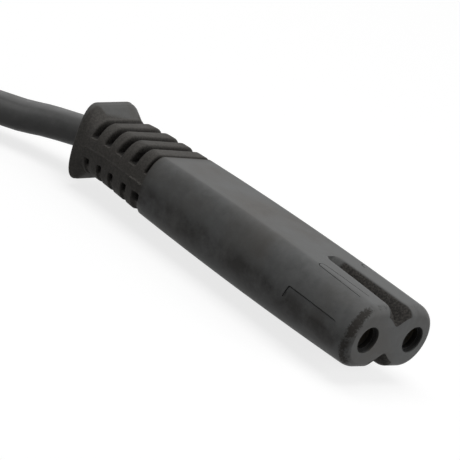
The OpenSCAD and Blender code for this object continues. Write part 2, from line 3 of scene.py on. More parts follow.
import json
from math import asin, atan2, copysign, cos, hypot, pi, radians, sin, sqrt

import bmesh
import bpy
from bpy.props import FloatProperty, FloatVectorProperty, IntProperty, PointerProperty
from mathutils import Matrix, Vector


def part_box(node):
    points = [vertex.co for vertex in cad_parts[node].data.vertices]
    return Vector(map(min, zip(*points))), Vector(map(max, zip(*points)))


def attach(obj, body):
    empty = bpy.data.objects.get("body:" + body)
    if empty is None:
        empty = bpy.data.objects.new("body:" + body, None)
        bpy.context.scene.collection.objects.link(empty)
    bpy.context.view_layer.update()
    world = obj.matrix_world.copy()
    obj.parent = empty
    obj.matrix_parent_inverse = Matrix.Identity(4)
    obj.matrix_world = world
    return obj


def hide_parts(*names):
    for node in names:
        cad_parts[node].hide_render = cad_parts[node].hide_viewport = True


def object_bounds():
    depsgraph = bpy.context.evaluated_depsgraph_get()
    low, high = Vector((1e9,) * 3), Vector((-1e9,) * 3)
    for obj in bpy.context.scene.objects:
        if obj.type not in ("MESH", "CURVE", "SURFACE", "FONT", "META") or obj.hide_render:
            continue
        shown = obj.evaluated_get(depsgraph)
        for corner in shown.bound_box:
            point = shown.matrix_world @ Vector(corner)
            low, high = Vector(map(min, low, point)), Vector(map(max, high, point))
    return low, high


bl_info = {
    "name": "Figure Eight Power Connector",
    "version": (1, 0, 0),
    "blender": (4, 5, 0),
    "location": "View3D > Sidebar > Connector",
    "description": "Builds a moulded figure eight connector, its folded flat cord and its plug",
    "category": "Add Mesh",
}

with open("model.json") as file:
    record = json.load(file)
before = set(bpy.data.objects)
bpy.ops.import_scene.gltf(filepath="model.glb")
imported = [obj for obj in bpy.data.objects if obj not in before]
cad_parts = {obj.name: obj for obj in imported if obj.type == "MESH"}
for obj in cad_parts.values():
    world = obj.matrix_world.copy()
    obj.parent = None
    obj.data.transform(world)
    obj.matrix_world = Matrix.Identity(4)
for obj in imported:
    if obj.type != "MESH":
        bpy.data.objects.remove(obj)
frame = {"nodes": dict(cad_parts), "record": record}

MM = 0.001
LEFT, RIGHT = -1, 1
CAD_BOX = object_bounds()
SLOT_COLOUR = {m["slot"]: m["base_color"] for m in frame["record"]["materials"]}


def mm(name, description, value):
    """A length in millimetres, as a property in metres."""
    return FloatProperty(
        name=name, description=description, default=value * MM, unit="LENGTH", precision=5
    )


def factor(name, description, value, low=0.1, high=1.0):
    """A plain number between two limits."""
    return FloatProperty(name=name, description=description, default=value, min=low, max=high)


def angle(name, description, degrees):
    """An angle in degrees, as a property in radians."""
    return FloatProperty(
        name=name, description=description, default=radians(degrees), subtype="ANGLE"
    )


def number(name, description, value, low, high):
    """A whole number between two limits."""
    return IntProperty(name=name, description=description, default=value, min=low, max=high)


def colour(name, description, value):
    """A colour property in linear light."""
    return FloatVectorProperty(
        name=name, description=description, default=value, size=3, subtype="COLOR", min=0, max=1
    )


class ConnectorMouldingSettings(bpy.types.PropertyGroup):
    """Sizes of the moulded connector body and its strain relief."""

    nose_width: mm("Nose width", "Width across both lobes at the mating face", 15.6)
    nose_height: mm("Nose height", "Height at the mating face", 7.9)
    waist_width: mm("Waist width", "Width half way along the body", 13.4)
    waist_height: mm("Waist height", "Height half way along the body", 8.5)
    heel_width: mm("Heel width", "Width where the strain relief starts", 12.5)
    heel_height: mm("Heel height", "Height where the strain relief starts", 7.7)
    flat_width: mm("Flat width", "Width of the flat top of the body", 8.3)
    body_length: mm("Body length", "Mating face to strain relief", 37)
    face_round: mm("Face round", "Length of the rounding behind the mating face", 1.5)
    face_inset: mm("Face inset", "Depth of that rounding across the face", 1)
    groove_length: mm("Groove length", "Length of the grooves from the mating face", 12.2)
    groove_ramp: mm("Groove run-out", "Length of the curved end of a groove", 1.9)
    groove_width: mm("Groove width", "Width of a groove at the mating face", 4)
    groove_rear_width: mm("Groove rear width", "Width of a groove at its run-out", 2.9)
    groove_rear_depth: mm("Groove rear depth", "Depth of a groove at its run-out", 1.5)
    web: mm("Web", "Thickness between the grooves at the mating face", 4)
    mark_rear: mm("Marks' rear end", "Rear end of the marks, from the face", 11.2)
    mark_front: mm("Marks' front end", "Front end of the marks, from the face", 3)
    pad_height: mm("Pad height", "Height of the flat pad on each side", 1.6)
    pad_depth: mm("Pad depth", "Depth of that pad along its top edge", 0.1)
    pad_line: mm("Pad line", "Depth of the line round the pad", 0.34)
    tongue_offset: mm("Tongue offset", "Middle of an outlined tongue from the middle", 4.1)
    tongue_rear: mm("Tongue rear", "Rear end of a tongue, from the face", 10.4)
    tongue_width: mm("Tongue width", "Width of an outlined tongue at its rear end", 1.1)
    tongue_front_width: mm("Tongue front width", "Width of it at its front end", 1.6)
    line_width: mm("Line width", "Width of the line round a tongue", 0.18)
    line_depth: mm("Line depth", "Depth of the line round a tongue", 0.2)
    mouth: mm("Mouth", "Diameter of a contact hole", 2.9)
    lead_in: mm("Lead-in", "Diameter of its countersink", 3.5)
    lead_in_depth: mm("Lead-in depth", "Depth of the countersink", 0.6)
    carrier_front: mm("Carrier front", "Depth of the carrier behind the face", 1.2)
    carrier_rear: mm("Carrier rear", "Rear end of the carrier behind the face", 14.7)
    carrier_tube: mm("Carrier tube", "Diameter of the carrier's tubes", 4.3)
    contact_pitch: mm("Contact pitch", "Spacing of the two contacts", 8.6)
    slots: number("Slots", "Slots above and below", 5, 2, 6)
    first_slot: mm("First slot", "Middle of the first slot, behind the body", 0.5)
    slot_pitch: mm("Slot pitch", "Spacing of the slots", 2.48)
    slot_width: mm("Slot width", "Width of a slot", 1)
    first_slot_width: mm("First slot width", "Width of the slot next to the body", 0.45)
    band: mm("Band", "Height of the plain band along each side", 2.5)
    rib_width: mm("Rib width", "Width at the last rib", 12)
    rib_height: mm("Rib height", "Height at the last rib", 7.2)
    rib_flat: mm("Rib flat", "Width of the flat on the last rib", 6.2)
    root_width: mm("Root width", "Width of the solid core inside the slots", 9)
    root_height: mm("Root height", "Height of that core", 5.2)
    bend_start: mm("Bend start", "Length of the relief before it bends", 5.5)
    bend_angle: angle("Bend", "Angle of the relief's set", 12)
    bend_lean: angle("Lean", "Lean of that bend from straight down", 55)
    flange_width: mm("Flange width", "Width across the end flange", 11.5)
    flange_height: mm("Flange height", "Height of the end flange", 10)
    flange_flat: mm("Flange flat", "Width of the flat on the end flange", 6.4)
    flange_rim: mm("Flange rim", "Length of the flange's rim", 1.1)
    flange_slope: mm("Flange slope", "Length of the slope in front of the rim", 1.6)
    flange_square: factor("Flange squareness", "2 is a round shoulder, more is squarer", 2.5, 2, 5)
    rim_drop: mm("Rim drop", "Height that the rim loses towards the front", 0.1)
    rim_round: mm("Rim round", "Radius of the flange's edges", 0.5)
    edge_round: mm("Edge round", "Radius of the ribs' edges", 0.22)
    colour: colour("Moulding colour", "Colour of the moulding", (0.12, 0.122, 0.121))
    # The handling colour also gives the painted shade in recesses, at the foot of the flange's
    # slope and low on the sides
    dust_and_shade: colour("Handling colour", "Colour of the handled, dusty patches", (0.088, 0.081, 0.073))


class ConnectorCordSettings(bpy.types.PropertyGroup):
    """Sizes of the flat cord and the hank that it is folded into."""

    width: mm("Cord width", "Width of the flat cord", 5.8)
    thickness: mm("Cord thickness", "Thickness of the flat cord", 3.6)
    run: mm("Hank run", "Length of the hank's straight runs", 65)
    fold: mm("Fold radius", "Radius at the middle of the innermost turn", 17.5)
    gap: mm("Turn gap", "Air between neighbouring turns", 0.1)
    step: mm("Ring spacing", "Spacing of the rings along the cord", 1.8)
    lanes: number("Lanes", "Turns beside each other", 3, 2, 4)
    tie_thickness: mm("Tie thickness", "Thickness of a tie over its ridges", 0.9)
    tie_ridge: mm("Tie ridge", "Height of the ridges on a tie", 0.3)
    tie_head: mm("Tie head", "Size of a tie's locking head", 4.4)
    tie_pitch: mm("Tie ridges", "Spacing of the ridges on a tie", 0.9)
    colour: colour("Cord colour", "Colour of the cord's jacket", (0.078, 0.078, 0.077))
    tie_colour: colour("Tie colour", "Colour of the ties", (0.03, 0.03, 0.03))


class ConnectorPlugSettings(bpy.types.PropertyGroup):
    """Sizes of the flat two-pin plug."""

    width: mm("Plug width", "Width of the plug's face", 35.3)
    thickness: mm("Plug thickness", "Thickness of the plug", 13.7)
    length: mm("Plug length", "Length of the plug's body", 36)
    head: mm("Plug head", "Length of the full-width head", 13)
    face_round: mm("Face round", "Radius of the edges of the plug's face", 1)
    shoulder_share: factor("Shoulder place", "Share of the taper", 0.45, 0.2, 0.7)
    shoulder_width: factor("Shoulder width", "Share of the face's width", 0.6, 0.4, 0.8)
    tail: mm("Tail", "Length of the ribbed tail", 8)
    core_width: mm("Core width", "Width of the tail between its ribs", 8.2)
    core_thickness: mm("Core thickness", "Thickness of the tail between its ribs", 6)
    rib: mm("Rib", "Length of one rib of the tail", 1.35)
    ribs: number("Ribs", "Ribs on the tail", 3, 2, 6)
    tail_width: mm("Tail width", "Width at the cord end", 12)
    tail_thickness: mm("Tail thickness", "Thickness at the cord end", 7.6)
    bevel: mm("Plug bevel", "Size of the bevels along the head", 4.6)
    flow: mm("Flow", "Length over which the sides bend from one slope to the next", 2.5)
    edge_share: factor("Edge share", "Bevel of the edges, as a share of the mean half size", 0.3)
    core_share: factor("Core share", "The same for the core between the ribs", 0.55)
    rib_share: factor("Rib share", "The same for the ribs", 0.35)
    colour: colour("Plug colour", "Colour of the plug's moulding", (0.1, 0.1, 0.099))


def mix(a, b, t):
    return a + (b - a) * t


def through(a, b, c, t):
    """A curve through a, b and c at t = 0, 0.5 and 1."""
    return a * (1 - t) * (1 - 2 * t) + 4 * b * t * (1 - t) + c * t * (2 * t - 1)


def clamp01(t):
    return min(1.0, max(0.0, t))


def eased(t):
    t = clamp01(t)
    return t * t * (3 - 2 * t)


def shares(count):
    """Count steps from 0 up to 1, without the 0."""
    return [(i + 1) / count for i in range(count)]


# Moulding: its outline at a place s, which runs rearwards from the heel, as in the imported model


def half_size(m, s, nose, waist, heel, rib):
    """Half a size at s: a curve from nose to heel, then a straight taper along the ribs."""
    if s < 0:
        return through(nose, waist, heel, clamp01(1 + s / m.body_length)) / 2
    return mix(heel, rib, clamp01(s / ribs_length(m))) / 2


def sizes_at(m, s):
    """Half width, half height and half the flat's width at s."""
    width = half_size(m, s, m.nose_width, m.waist_width, m.heel_width, m.rib_width)
    height = half_size(m, s, m.nose_height, m.waist_height, m.heel_height, m.rib_height)
    return width, height, mix(m.flat_width, m.rib_flat, clamp01(s / ribs_length(m))) / 2


def ribs_length(m):
    return m.first_slot + (m.slots - 1) * m.slot_pitch + m.slot_width / 2


def relief_length(m):
    return ribs_length(m) + m.flange_slope + m.flange_rim


def groove_at(m, d):
    """Depth and half width of a groove at a distance from the face."""
    full = m.groove_length - m.groove_ramp
    runout = clamp01((d - full) / m.groove_ramp)
    depth = mix((m.nose_height - m.web) / 2, m.groove_rear_depth, clamp01(d / full))
    half = mix(m.groove_width, m.groove_rear_width, clamp01(d / full)) / 2
    return depth * sqrt(1 - runout**3), half * sqrt(1 - GROOVE_TAPER * runout**3)


END_WALL = 0.35 * MM
GROOVE_POWER, GROOVE_BOTTOM, GROOVE_TAPER = 1.6, 0.16, 0.65
# How much less deep and how much wider a groove gets in the rounding of the face
FACE_SHALLOWER, FACE_WIDER = 0.75, 0.6
SEAM_STEPS = (0.0, 0.05, 0.1)
BAND_STEPS, WALL_POINTS, SHOULDER_STEPS, FLAT_STEPS, GROOVE_STEPS = 4, 5, 16, 6, 14
BAND_POINTS = len(SEAM_STEPS) + BAND_STEPS
FACE_STEPS, NOSE_STEPS, RUNOUT_STEPS, HEEL_STEPS = 12, 12, 14, 26
SEAM_FADE = (1, 0.55, 0.25, 0.1)
# Heights of the parting line in millimetres, and its waves in radians a millimetre
SEAM, SEAM_WAVE, FLASH = 0.07, 0.02, 0.3
SEAM_TURNS, FLASH_TURNS = 5.1, 4
FLASH_START, FLASH_END, FLASH_FADE = 0.5 * MM, 3.2 * MM, 1.2 * MM
NARROW, FIRST_CRISP = 0.34 * MM, 0.35
FIRST_SHIFT, DIMPLE_HALF, DIMPLE_EDGE = 0.12 * MM, 0.47 * MM, 0.2 * MM
BELOW_DEPTHS = (0.75, 0.15)
HAIR = 0.02 * MM


def quarter(m, w, h, f, depth=0, half=None, power=2.0):
    """Quarter outline: side band, end wall of the slots, shoulder, flat and groove."""
    half = m.groove_rear_width / 2 if half is None else half
    start = asin(min(1.0, m.band / 2 / h) ** (power / 2))
    wall = start + END_WALL / h
    angles = [start * t for t in SEAM_STEPS]
    angles += [mix(start * SEAM_STEPS[-1], start, t) for t in shares(BAND_STEPS)]
    angles += [mix(start, wall, t) for t in shares(WALL_POINTS)]
    angles += [mix(wall, pi / 2, t) for t in shares(SHOULDER_STEPS)]
    points = [
        (f + (w - f) * abs(cos(a)) ** (2 / power), h * sin(a) ** (2 / power)) for a in angles
    ]
    points += [(mix(f, half, t), h) for t in shares(FLAT_STEPS)]
    for t in shares(GROOVE_STEPS):
        g = 1 - t
        u = (1 - sqrt(g * g + GROOVE_BOTTOM**2)) / (1 - GROOVE_BOTTOM)
        points.append((half * g, h - depth * clamp01(u) ** GROOVE_POWER))
    return points


def slot_share(i, below):
    """How much of a slot's depth the point i of a quarter takes: none on the band, less below."""
    share = eased((i - BAND_POINTS + 1) / WALL_POINTS)
    if below:
        share *= mix(*BELOW_DEPTHS, eased((i - BAND_POINTS - WALL_POINTS + 1) / 4))
    return share


def whole(upper, lower):
    """The whole outline from a quarter above and one below."""
    n = len(upper)
    return (
        upper
        + [(-upper[i][0], upper[i][1]) for i in range(n - 2, -1, -1)]
        + [(-lower[i][0], -lower[i][1]) for i in range(1, n)]
        + [(lower[i][0], -lower[i][1]) for i in range(n - 2, 0, -1)]
    )


def bend_radius(m):
    return (relief_length(m) - m.bend_start) / m.bend_angle


def down(m):
    """Direction in which the relief has set, across the body."""
    return Vector((-sin(m.bend_lean), -cos(m.bend_lean)))


def placed(m, s, p):
    """Place in space of a point of the outline at s, with the set of the relief."""
    radius = bend_radius(m)
    t = max(0.0, s - m.bend_start) / radius
    straight = min(s, m.bend_start)
    across = Vector((cos(m.bend_lean), -sin(m.bend_lean)))
    p = Vector(p)
    a, b = p.dot(down(m)), p.dot(across)
    flat = down(m) * (radius * (1 - cos(t)) + a * cos(t)) + across * b
    x = -m.body_length - straight - radius * sin(t) + a * sin(t)
    return Vector((x, flat.x, flat.y))


def body_rows(m):
    """Rings from the mating face to the heel: place, outline above, outline below."""
    rows = []
    turns = [i / FACE_STEPS * pi / 2 for i in range(FACE_STEPS + 1)]
    places = [(m.face_round * (1 - cos(a)), m.face_inset * (1 - sin(a))) for a in turns]
    full = m.groove_length - m.groove_ramp
    places += [(mix(m.face_round, full, t), 0.0) for t in shares(NOSE_STEPS)]
    places += [(full + m.groove_ramp * sin(t * pi / 2), 0.0) for t in shares(RUNOUT_STEPS)]
    places += [(mix(m.groove_length, m.body_length, t), 0.0) for t in shares(HEEL_STEPS)]
    for d, inset in places:
        s = d - m.body_length
        depth, half = groove_at(m, d)
        w, h, f = sizes_at(m, s)
        depth = max(0.0, depth - inset * FACE_SHALLOWER)
        q = quarter(m, w - inset, h - inset, f, depth, half + inset * FACE_WIDER)
        rows.append((s, q, q))
    rows.pop()
    return rows


def seam_height(s):
    """Height of the parting line: fine along the ribs, with a lump of flash at the heel."""
    fine = SEAM + SEAM_WAVE * sin(s / MM * SEAM_TURNS)
    flash = eased(s / FLASH_START) * eased((FLASH_END - s) / FLASH_FADE)
    lumps = 0.5 + 0.5 * sin(s / MM * FLASH_TURNS)
    return (fine + FLASH * flash * lumps) * MM


def rib_quarter(m, s, cut, below=False):
    """Quarter outline on the ribs, cut in towards the root by a share."""
    outer = quarter(m, *sizes_at(m, s))
    root_w, root_h = m.root_width / 2, m.root_height / 2
    inner = quarter(m, root_w, root_h, root_w - root_h)
    points = []
    for i, (a, b) in enumerate(zip(outer, inner)):
        t = cut * slot_share(i, below)
        points.append((mix(a[0], b[0], t), mix(a[1], b[1], t)))
    seam = seam_height(s)
    for i, share in enumerate(SEAM_FADE):
        points[i] = (points[i][0] + seam * share, points[i][1])
    return points


def edge_profile(m, into):
    """Steps over a slot's edge: distance into the slot and share of its depth."""
    deep = (m.rib_height - m.root_height) / 2
    r, foot, draft = m.edge_round, 0.2 * MM, 0.1 * MM
    steps = []
    for k in range(6):
        a = k * pi / 10
        steps.append((-r + r * sin(a), r * (1 - cos(a)) / deep))
    steps.append((draft * 0.8, 1 - foot / deep))
    for k in range(1, 5):
        a = k * pi / 8
        steps.append((draft + foot * (1 - cos(a)), 1 - foot * (1 - sin(a)) / deep))
    return steps if into else [(-d, t) for d, t in reversed(steps)]


def slot_below(m, i, s):
    """Depth share below: each slot is a narrower, rounded dimple there."""
    middle = m.first_slot + i * m.slot_pitch + (FIRST_SHIFT if i == 0 else 0)
    return eased((DIMPLE_HALF - abs(s - middle)) / DIMPLE_EDGE)


def relief_rows(m):
    """Rings along the ribs, up to the wall of the flange."""
    rows = [(0.0, 0.0, 0)]
    for i in range(m.slots):
        middle = m.first_slot + i * m.slot_pitch
        half = (m.first_slot_width if i == 0 else m.slot_width) / 2
        squeeze = min(1.0, half / NARROW)
        crisp = FIRST_CRISP if i == 0 else 1
        rows += [(middle - half + d * squeeze * crisp, t, i) for d, t in edge_profile(m, True)]
        rows += [(middle + half + d * squeeze, t, i) for d, t in edge_profile(m, False)]
        if i < m.slots - 1:
            top = middle + half + m.edge_round
            end = middle + m.slot_pitch - m.slot_width / 2 - m.edge_round
            rows += [(mix(top, end, t), 0.0, i) for t in (0.33, 0.67)]
    return [
        (s, rib_quarter(m, s, cut), rib_quarter(m, s, slot_below(m, i, s), True))
        for s, cut, i in rows if s == 0 or s > 0.01 * MM
    ]


def flange_rows(m):
    """Rings of the end flange: slope, rim and rear face."""
    foot_s = ribs_length(m) + m.edge_round * 1.4
    top_s = ribs_length(m) + m.flange_slope
    end_s = relief_length(m)
    front_h, rear_h, wide = m.flange_height / 2 - m.rim_drop, m.flange_height / 2, m.flange_width
    foot_h = sizes_at(m, foot_s)[1]
    r = m.rim_round
    profile = [
        (mix(foot_s, top_s, t), mix(m.rib_width, wide, t) / 2, mix(foot_h, front_h, t), t)
        for t in (0, 0.15, 0.4, 0.65, 0.85)
    ]
    turn = atan2(front_h - foot_h, top_s - foot_s)
    for k in range(6):
        a = turn * (1 - k / 5)
        h = front_h - r * (1 - cos(a))
        profile.append((top_s + r * (0.6 - sin(a)), wide / 2, h, 1))
    for t in (0.3, 0.65, 1):
        profile.append((mix(top_s + r * 0.7, end_s - r, t), wide / 2, mix(front_h, rear_h, t), 1))
    for k in range(1, 6):
        a = k * pi / 10
        fall = r * (1 - cos(a))
        profile.append((end_s - r + r * sin(a), wide / 2 - fall, rear_h - fall, 1))
    rows = []
    for s, w, h, t in profile:
        flat, power = mix(m.rib_flat, m.flange_flat, t) / 2, mix(2, m.flange_square, t)
        q = quarter(m, w, h, flat, power=power)
        rows.append((s, q, q))
    return rows


OVER = 0.3 * MM
SHARP = radians(38)
SHARP_MOULDING, SHARP_PLUG = radians(28), radians(30)
SHARP_CORD, SHARP_TIE = radians(60), radians(35)


def skinned(name, rings, sharp=SHARP):
    """A closed mesh object through rings of points."""
    n = len(rings[0])
    verts = [v for r in rings for v in r]
    faces = []
    for k in range(len(rings) - 1):
        for i in range(n):
            a, b = k * n + i, k * n + (i + 1) % n
            faces.append((a, b, b + n, a + n))
    faces.append(tuple(range(n - 1, -1, -1)))
    faces.append(tuple((len(rings) - 1) * n + i for i in range(n)))
    return mesh_object(name, verts, faces, sharp)


def smooth(mesh, sharp):
    """Smooth shading, with a sharp edge where two faces meet at more than an angle."""
    mesh.shade_smooth()
    mesh.set_sharp_from_angle(angle=sharp)


def added(name, data):
    """A new object in the scene."""
    obj = bpy.data.objects.new(name, data)
    bpy.context.scene.collection.objects.link(obj)
    return obj


def mesh_object(name, verts, faces, sharp=SHARP):
    mesh = bpy.data.meshes.new(name)
    mesh.from_pydata([tuple(v) for v in verts], [], faces)
    bm = bmesh.new()
    bm.from_mesh(mesh)
    if bm.calc_volume(signed=True) < 0:
        bmesh.ops.reverse_faces(bm, faces=bm.faces)
    bm.to_mesh(mesh)
    bm.free()
    smooth(mesh, sharp)
    return added(name, mesh)


def turned(name, outline, centre, sides=64):
    """A solid turned about X from (radius, place) points, with flat ends."""
    rings = []
    for radius, x in outline:
        rings.append([
            Vector((x, centre[1] + radius * cos(a), centre[2] + radius * sin(a)))
            for a in (k * 2 * pi / sides for k in range(sides))
        ])
    return skinned(name, rings)


def apply_modifiers(obj):
    """Makes what the object's modifiers give its own mesh."""
    shaped = obj.evaluated_get(bpy.context.evaluated_depsgraph_get())
    mesh = bpy.data.meshes.new_from_object(shaped)
    obj.modifiers.clear()
    obj.data = mesh


def combine(obj, operation, other, use_self=False):
    """An exact boolean of obj with another object, which is then deleted."""
    change = obj.modifiers.new("combine", "BOOLEAN")
    change.operation = operation
    change.solver = "EXACT"
    change.use_self = use_self
    change.object = other
    apply_modifiers(obj)
    bpy.data.objects.remove(other)


def cut(obj, cutters):
    """Takes the cutters out of obj, and deletes them. They mustn't overlap each other."""
    joined = bmesh.new()
    for cutter in cutters:
        joined.from_mesh(cutter.data)
    joined.to_mesh(cutters[0].data)
    joined.free()
    combine(obj, "DIFFERENCE", cutters[0])
    for cutter in cutters[1:]:
        bpy.data.objects.remove(cutter)


def mouth_cutter(m, side):
    """A contact hole: two thin ledges in its countersink, the bore, and the room for a tube."""
    over = 0.5 * MM
    ledge = (m.lead_in - m.mouth) / 4
    rims = [m.lead_in / 2, m.lead_in / 2 - ledge, m.mouth / 2]
    half_way = m.lead_in_depth / 2
    outline = [
        (rims[0], over), (rims[0] - ledge * 0.4, -half_way), (rims[1], -half_way),
        (rims[1] - ledge * 0.3, -m.lead_in_depth), (rims[2], -m.lead_in_depth),
        (rims[2], -m.carrier_front), (m.carrier_tube / 2, -m.carrier_front),
        (m.carrier_tube / 2, -m.carrier_rear),
    ]
    return turned("mouth_cutter", outline, (0, side * m.contact_pitch / 2, 0))


def side_at(m, x, z):
    """Half width of the body at a place and height."""
    w, h, f = sizes_at(m, -x - m.body_length)
    return f + (w - f) * sqrt(1 - (z / h) ** 2)


def pad_cutter(m, side):
    """A flat recess on the side, deeper along its top edge and running out below."""
    over = 1 * MM
    rings = []
    for z, depth in ((-m.pad_height / 2, HAIR), (m.pad_height / 2, m.pad_depth)):
        outline = [
            Vector((-d, side * (side_at(m, -d, z) - depth), z)) for d in (m.mark_front, m.mark_rear)
        ]
        outline += [Vector((p.x, p.y + side * over, z)) for p in outline[::-1]]
        rings.append(outline)
    return skinned("pad_cutter", rings)


def pad_line_cutter(m, side):
    """The line engraved round the pad's rear end, top edge and front end."""
    half, r, above = m.pad_height / 2, 0.3 * MM, 0.4 * MM
    turns = [k * pi / 8 for k in range(5)]
    path = [(-m.mark_rear - 0.2 * MM, -half * 0.9), (-m.mark_rear, half - r)]
    path += [(-m.mark_rear + r * (1 - cos(a)), half - r * (1 - sin(a))) for a in turns[1:]]
    path += [(-m.mark_front - r * (1 - sin(a)), half - r * (1 - cos(a))) for a in turns]
    path.append((-m.mark_front, half * 0.2))
    rings = []
    last = len(path) - 1
    for i, (x, z) in enumerate(path):
        ahead = Vector(path[min(i + 1, last)]) - Vector(path[max(i - 1, 0)])
        across = Vector((-ahead.y, ahead.x)).normalized() * m.line_width / 2
        bottom = -m.pad_line * mix(0.3, 1, clamp01((-x - m.mark_front) / MM))
        out = side_at(m, x, z)
        rings.append([
            Vector((x + across.x * k, side * (out + rise), z + across.y * k))
            for k, rise in ((1, above), (-1, above), (-0.6, bottom), (0.6, bottom))
        ])
    return skinned("pad_line_cutter", rings)


def tongue_outline(m, side, grow):
    """Points round an outlined tongue: a round rear end that widens to the front."""
    near = side == LEFT
    rear_r = m.tongue_width / 2 + grow
    centre = -m.tongue_rear + m.tongue_width / 2
    front = -m.mark_front if near else centre + 0.3 * MM
    front_half = (m.tongue_front_width if near else m.tongue_width) / 2 + grow
    points = [(front, front_half)]
    turns = [k * pi / 16 for k in range(17)]
    points += [(centre - rear_r * sin(a), rear_r * cos(a)) for a in turns]
    points.append((front, -front_half))
    return [(x, side * m.tongue_offset + y) for x, y in points]


def tongue_cutter(m, side):
    """The line round a tongue, which fades towards its open front end."""
    rings = []
    outlines = (tongue_outline(m, side, grow) for grow in (m.line_width / 2, -m.line_width / 2))
    for p, q in zip(*outlines):
        w, h, f = sizes_at(m, -p[0] - m.body_length)
        h *= sqrt(1 - clamp01((abs(p[1] + q[1]) / 2 - f) / (w - f)) ** 2)
        share = clamp01((-p[0] - m.mark_front) / (2.5 * MM))
        bottom = h - m.line_depth * mix(0.2, 1, share)
        middle = ((p[0] + q[0]) / 2, (p[1] + q[1]) / 2)
        rings.append([Vector((*end, h + OVER)) for end in (p, q)] + [
            Vector((mix(middle[0], end[0], 0.5), mix(middle[1], end[1], 0.5), bottom))
            for end in (q, p)
        ])
    return skinned("tongue_cutter", rings)


# Marks written on the moulding's points: recess and bore are painted as shade, the band low on the
# sides as shade with wear, the ribs' mark as shade at the flange slope's foot, and the rim as
# scuffs
MARKS = ("recess", "rim", "bore", "wear_and_shade", "ribbed")
ON_FACE = 0.01 * MM
SCUFF_LENGTH, SCUFF_SIDE, SCUFF_TOP = 1.7 * MM, 4.6 * MM, 2.4 * MM
# Middle and half height of the band of painted shade, mottled as wear, low on each side
SHADE_BAND_MIDDLE, SHADE_BAND_HALF = -1.1 * MM, 1.9 * MM


def marks_at(m, p):
    """How far a point lies in a recess, on the scuffed front edge, in a bore or deep in a slot, in
    a band low on each side and on the ribs or the foot of the flange's slope. The material paints
    shade from the recesses, bores, band and slope's foot, the band mottled as wear. The mating face
    has no marks."""
    d, y, z = -p.x, p.y, p.z
    recess = rim = bore = wear_and_shade = ribbed = 0.0
    s = d - m.body_length
    if d < ON_FACE:
        return recess, rim, bore, wear_and_shade, ribbed
    if s < 0:
        # bore: a contact hole, which the material paints near black as shade, a little less in its
        # countersink
        for side in (LEFT, RIGHT):
            off = hypot(y - side * m.contact_pitch / 2, z)
            if off < m.lead_in / 2 + HAIR:
                bore = 1.0 if d > m.lead_in_depth + HAIR else 0.8
        # recess: how far a point lies in a groove, where the material paints shade, less at the
        # groove's curved rear end
        if d < m.groove_length and abs(z) > HAIR:
            half = groove_at(m, d)[1] + max(0.0, m.face_round - d) * 0.3
            recess = clamp01((half * 0.93 - abs(y)) / (0.2 * MM))
            recess *= 1 - 0.75 * eased((d - m.groove_length + 1.5 * MM) / (0.5 * MM))
        band = sin(clamp01((d + 0.2 * MM) / SCUFF_LENGTH) * pi)
        outer = clamp01((abs(y) - SCUFF_SIDE) / (1.4 * MM))
        rim = band * max(outer if y < 0 else 0.25 * outer, 0.35 * clamp01((z - SCUFF_TOP) / MM))
    else:
        t = max(0.0, s - m.bend_start) / bend_radius(m)
        back = down(m) * bend_radius(m) * (1 - cos(min(t, m.bend_angle)))
        y, z = y - back.x, z - back.y
        s = min(s, relief_length(m))
        w, h, f = sizes_at(m, s)
        depth = h * (1 - hypot(max(0.0, abs(y) - f) / (w - f), z / h))
        # recess and bore: the slots, where the material paints shade, near black in their deep part
        if s < ribs_length(m) + m.edge_round:
            recess = clamp01((depth - 0.15 * MM) / (0.5 * MM))
            bore = 0.75 * clamp01((depth - 0.4 * MM) / (0.4 * MM))
        # ribbed: the ribs, running on over the lower part of the flange's slope, where the material
        # paints the shade at its foot
        end = ribs_length(m) + m.flange_slope * (0.6 + 0.6 * clamp01((abs(y) - f) / MM))
        ribbed = eased((s + 0.1 * MM) / (0.3 * MM)) * mix(0.3, 1, eased((end - s) / (0.5 * MM)))
    # A band low on each side, fading onto the relief, which the material paints darker: painted
    # shade, mottled as brown wear
    if abs(y) > m.groove_width:
        wear_and_shade = eased(1.25 - abs(z - SHADE_BAND_MIDDLE) / SHADE_BAND_HALF) * (1 - 0.7 * clamp01(s / MM))
    return recess, rim, bore, wear_and_shade, ribbed


def write_marks(m, obj):
    """Writes the marks on each point, for the moulding's material."""
    mesh = obj.data
    rows = [marks_at(m, v.co) for v in mesh.vertices]
    for name, values in zip(MARKS, zip(*rows)):
        mesh.attributes.new(name, "FLOAT", "POINT").data.foreach_set("value", values)


# Materials


BROAD, MEDIUM, FINE, SPECK = 9 * MM, 4 * MM, 1.3 * MM, 0.27 * MM
MOTTLE, MOTTLE_TONES, PATCHES = (0.35, 0.68), (0.88, 1.14), (0.45, 0.68, 0, 0.65)
# Painted shade: the band low on the sides, mottled as wear; near black in the bores and deep slots;
# with the ribs, at the foot of the flange's slope; and in the recesses
WEAR_AND_SHADE_TONE, SCUFF_TONE, BORE_SHADE_COLOUR = 0.2, 0.34, (0.003, 0.003, 0.003)
RIB_AND_FOOT_SHADE_TONES, RECESS_SHADE_TONES = (0.5, 0.85), (0.12, 0.62)
WEAR_AND_SHADE_SHARE, RIB_AND_FOOT_SHADE_SHARE = 0.95, 0.85
SCUFF_SPECKS, COARSE_RELIEF, COARSE_ROUGH = 1.6, 2.6, 0.2
SPECULAR, GRAIN_DEPTH = 0.18, 0.012 * MM
DRAWN, DRAWN_DEPTH = (1, 18, 18), 0.004 * MM


def feed(tree, socket, value):
    """Links a socket to another one, or gives it a plain value."""
    if isinstance(value, bpy.types.NodeSocket):
        tree.links.new(value, socket)
    else:
        socket.default_value = value


def add(tree, kind, settings=None, **inputs):
    """Adds a node. Its inputs are given by name, with _ for a space, as a socket or a value."""
    made = tree.nodes.new(kind)
    for key, value in (settings or {}).items():
        setattr(made, key, value)
    for key, value in inputs.items():
        feed(tree, made.inputs[key.replace("_", " ")], value)
    return made


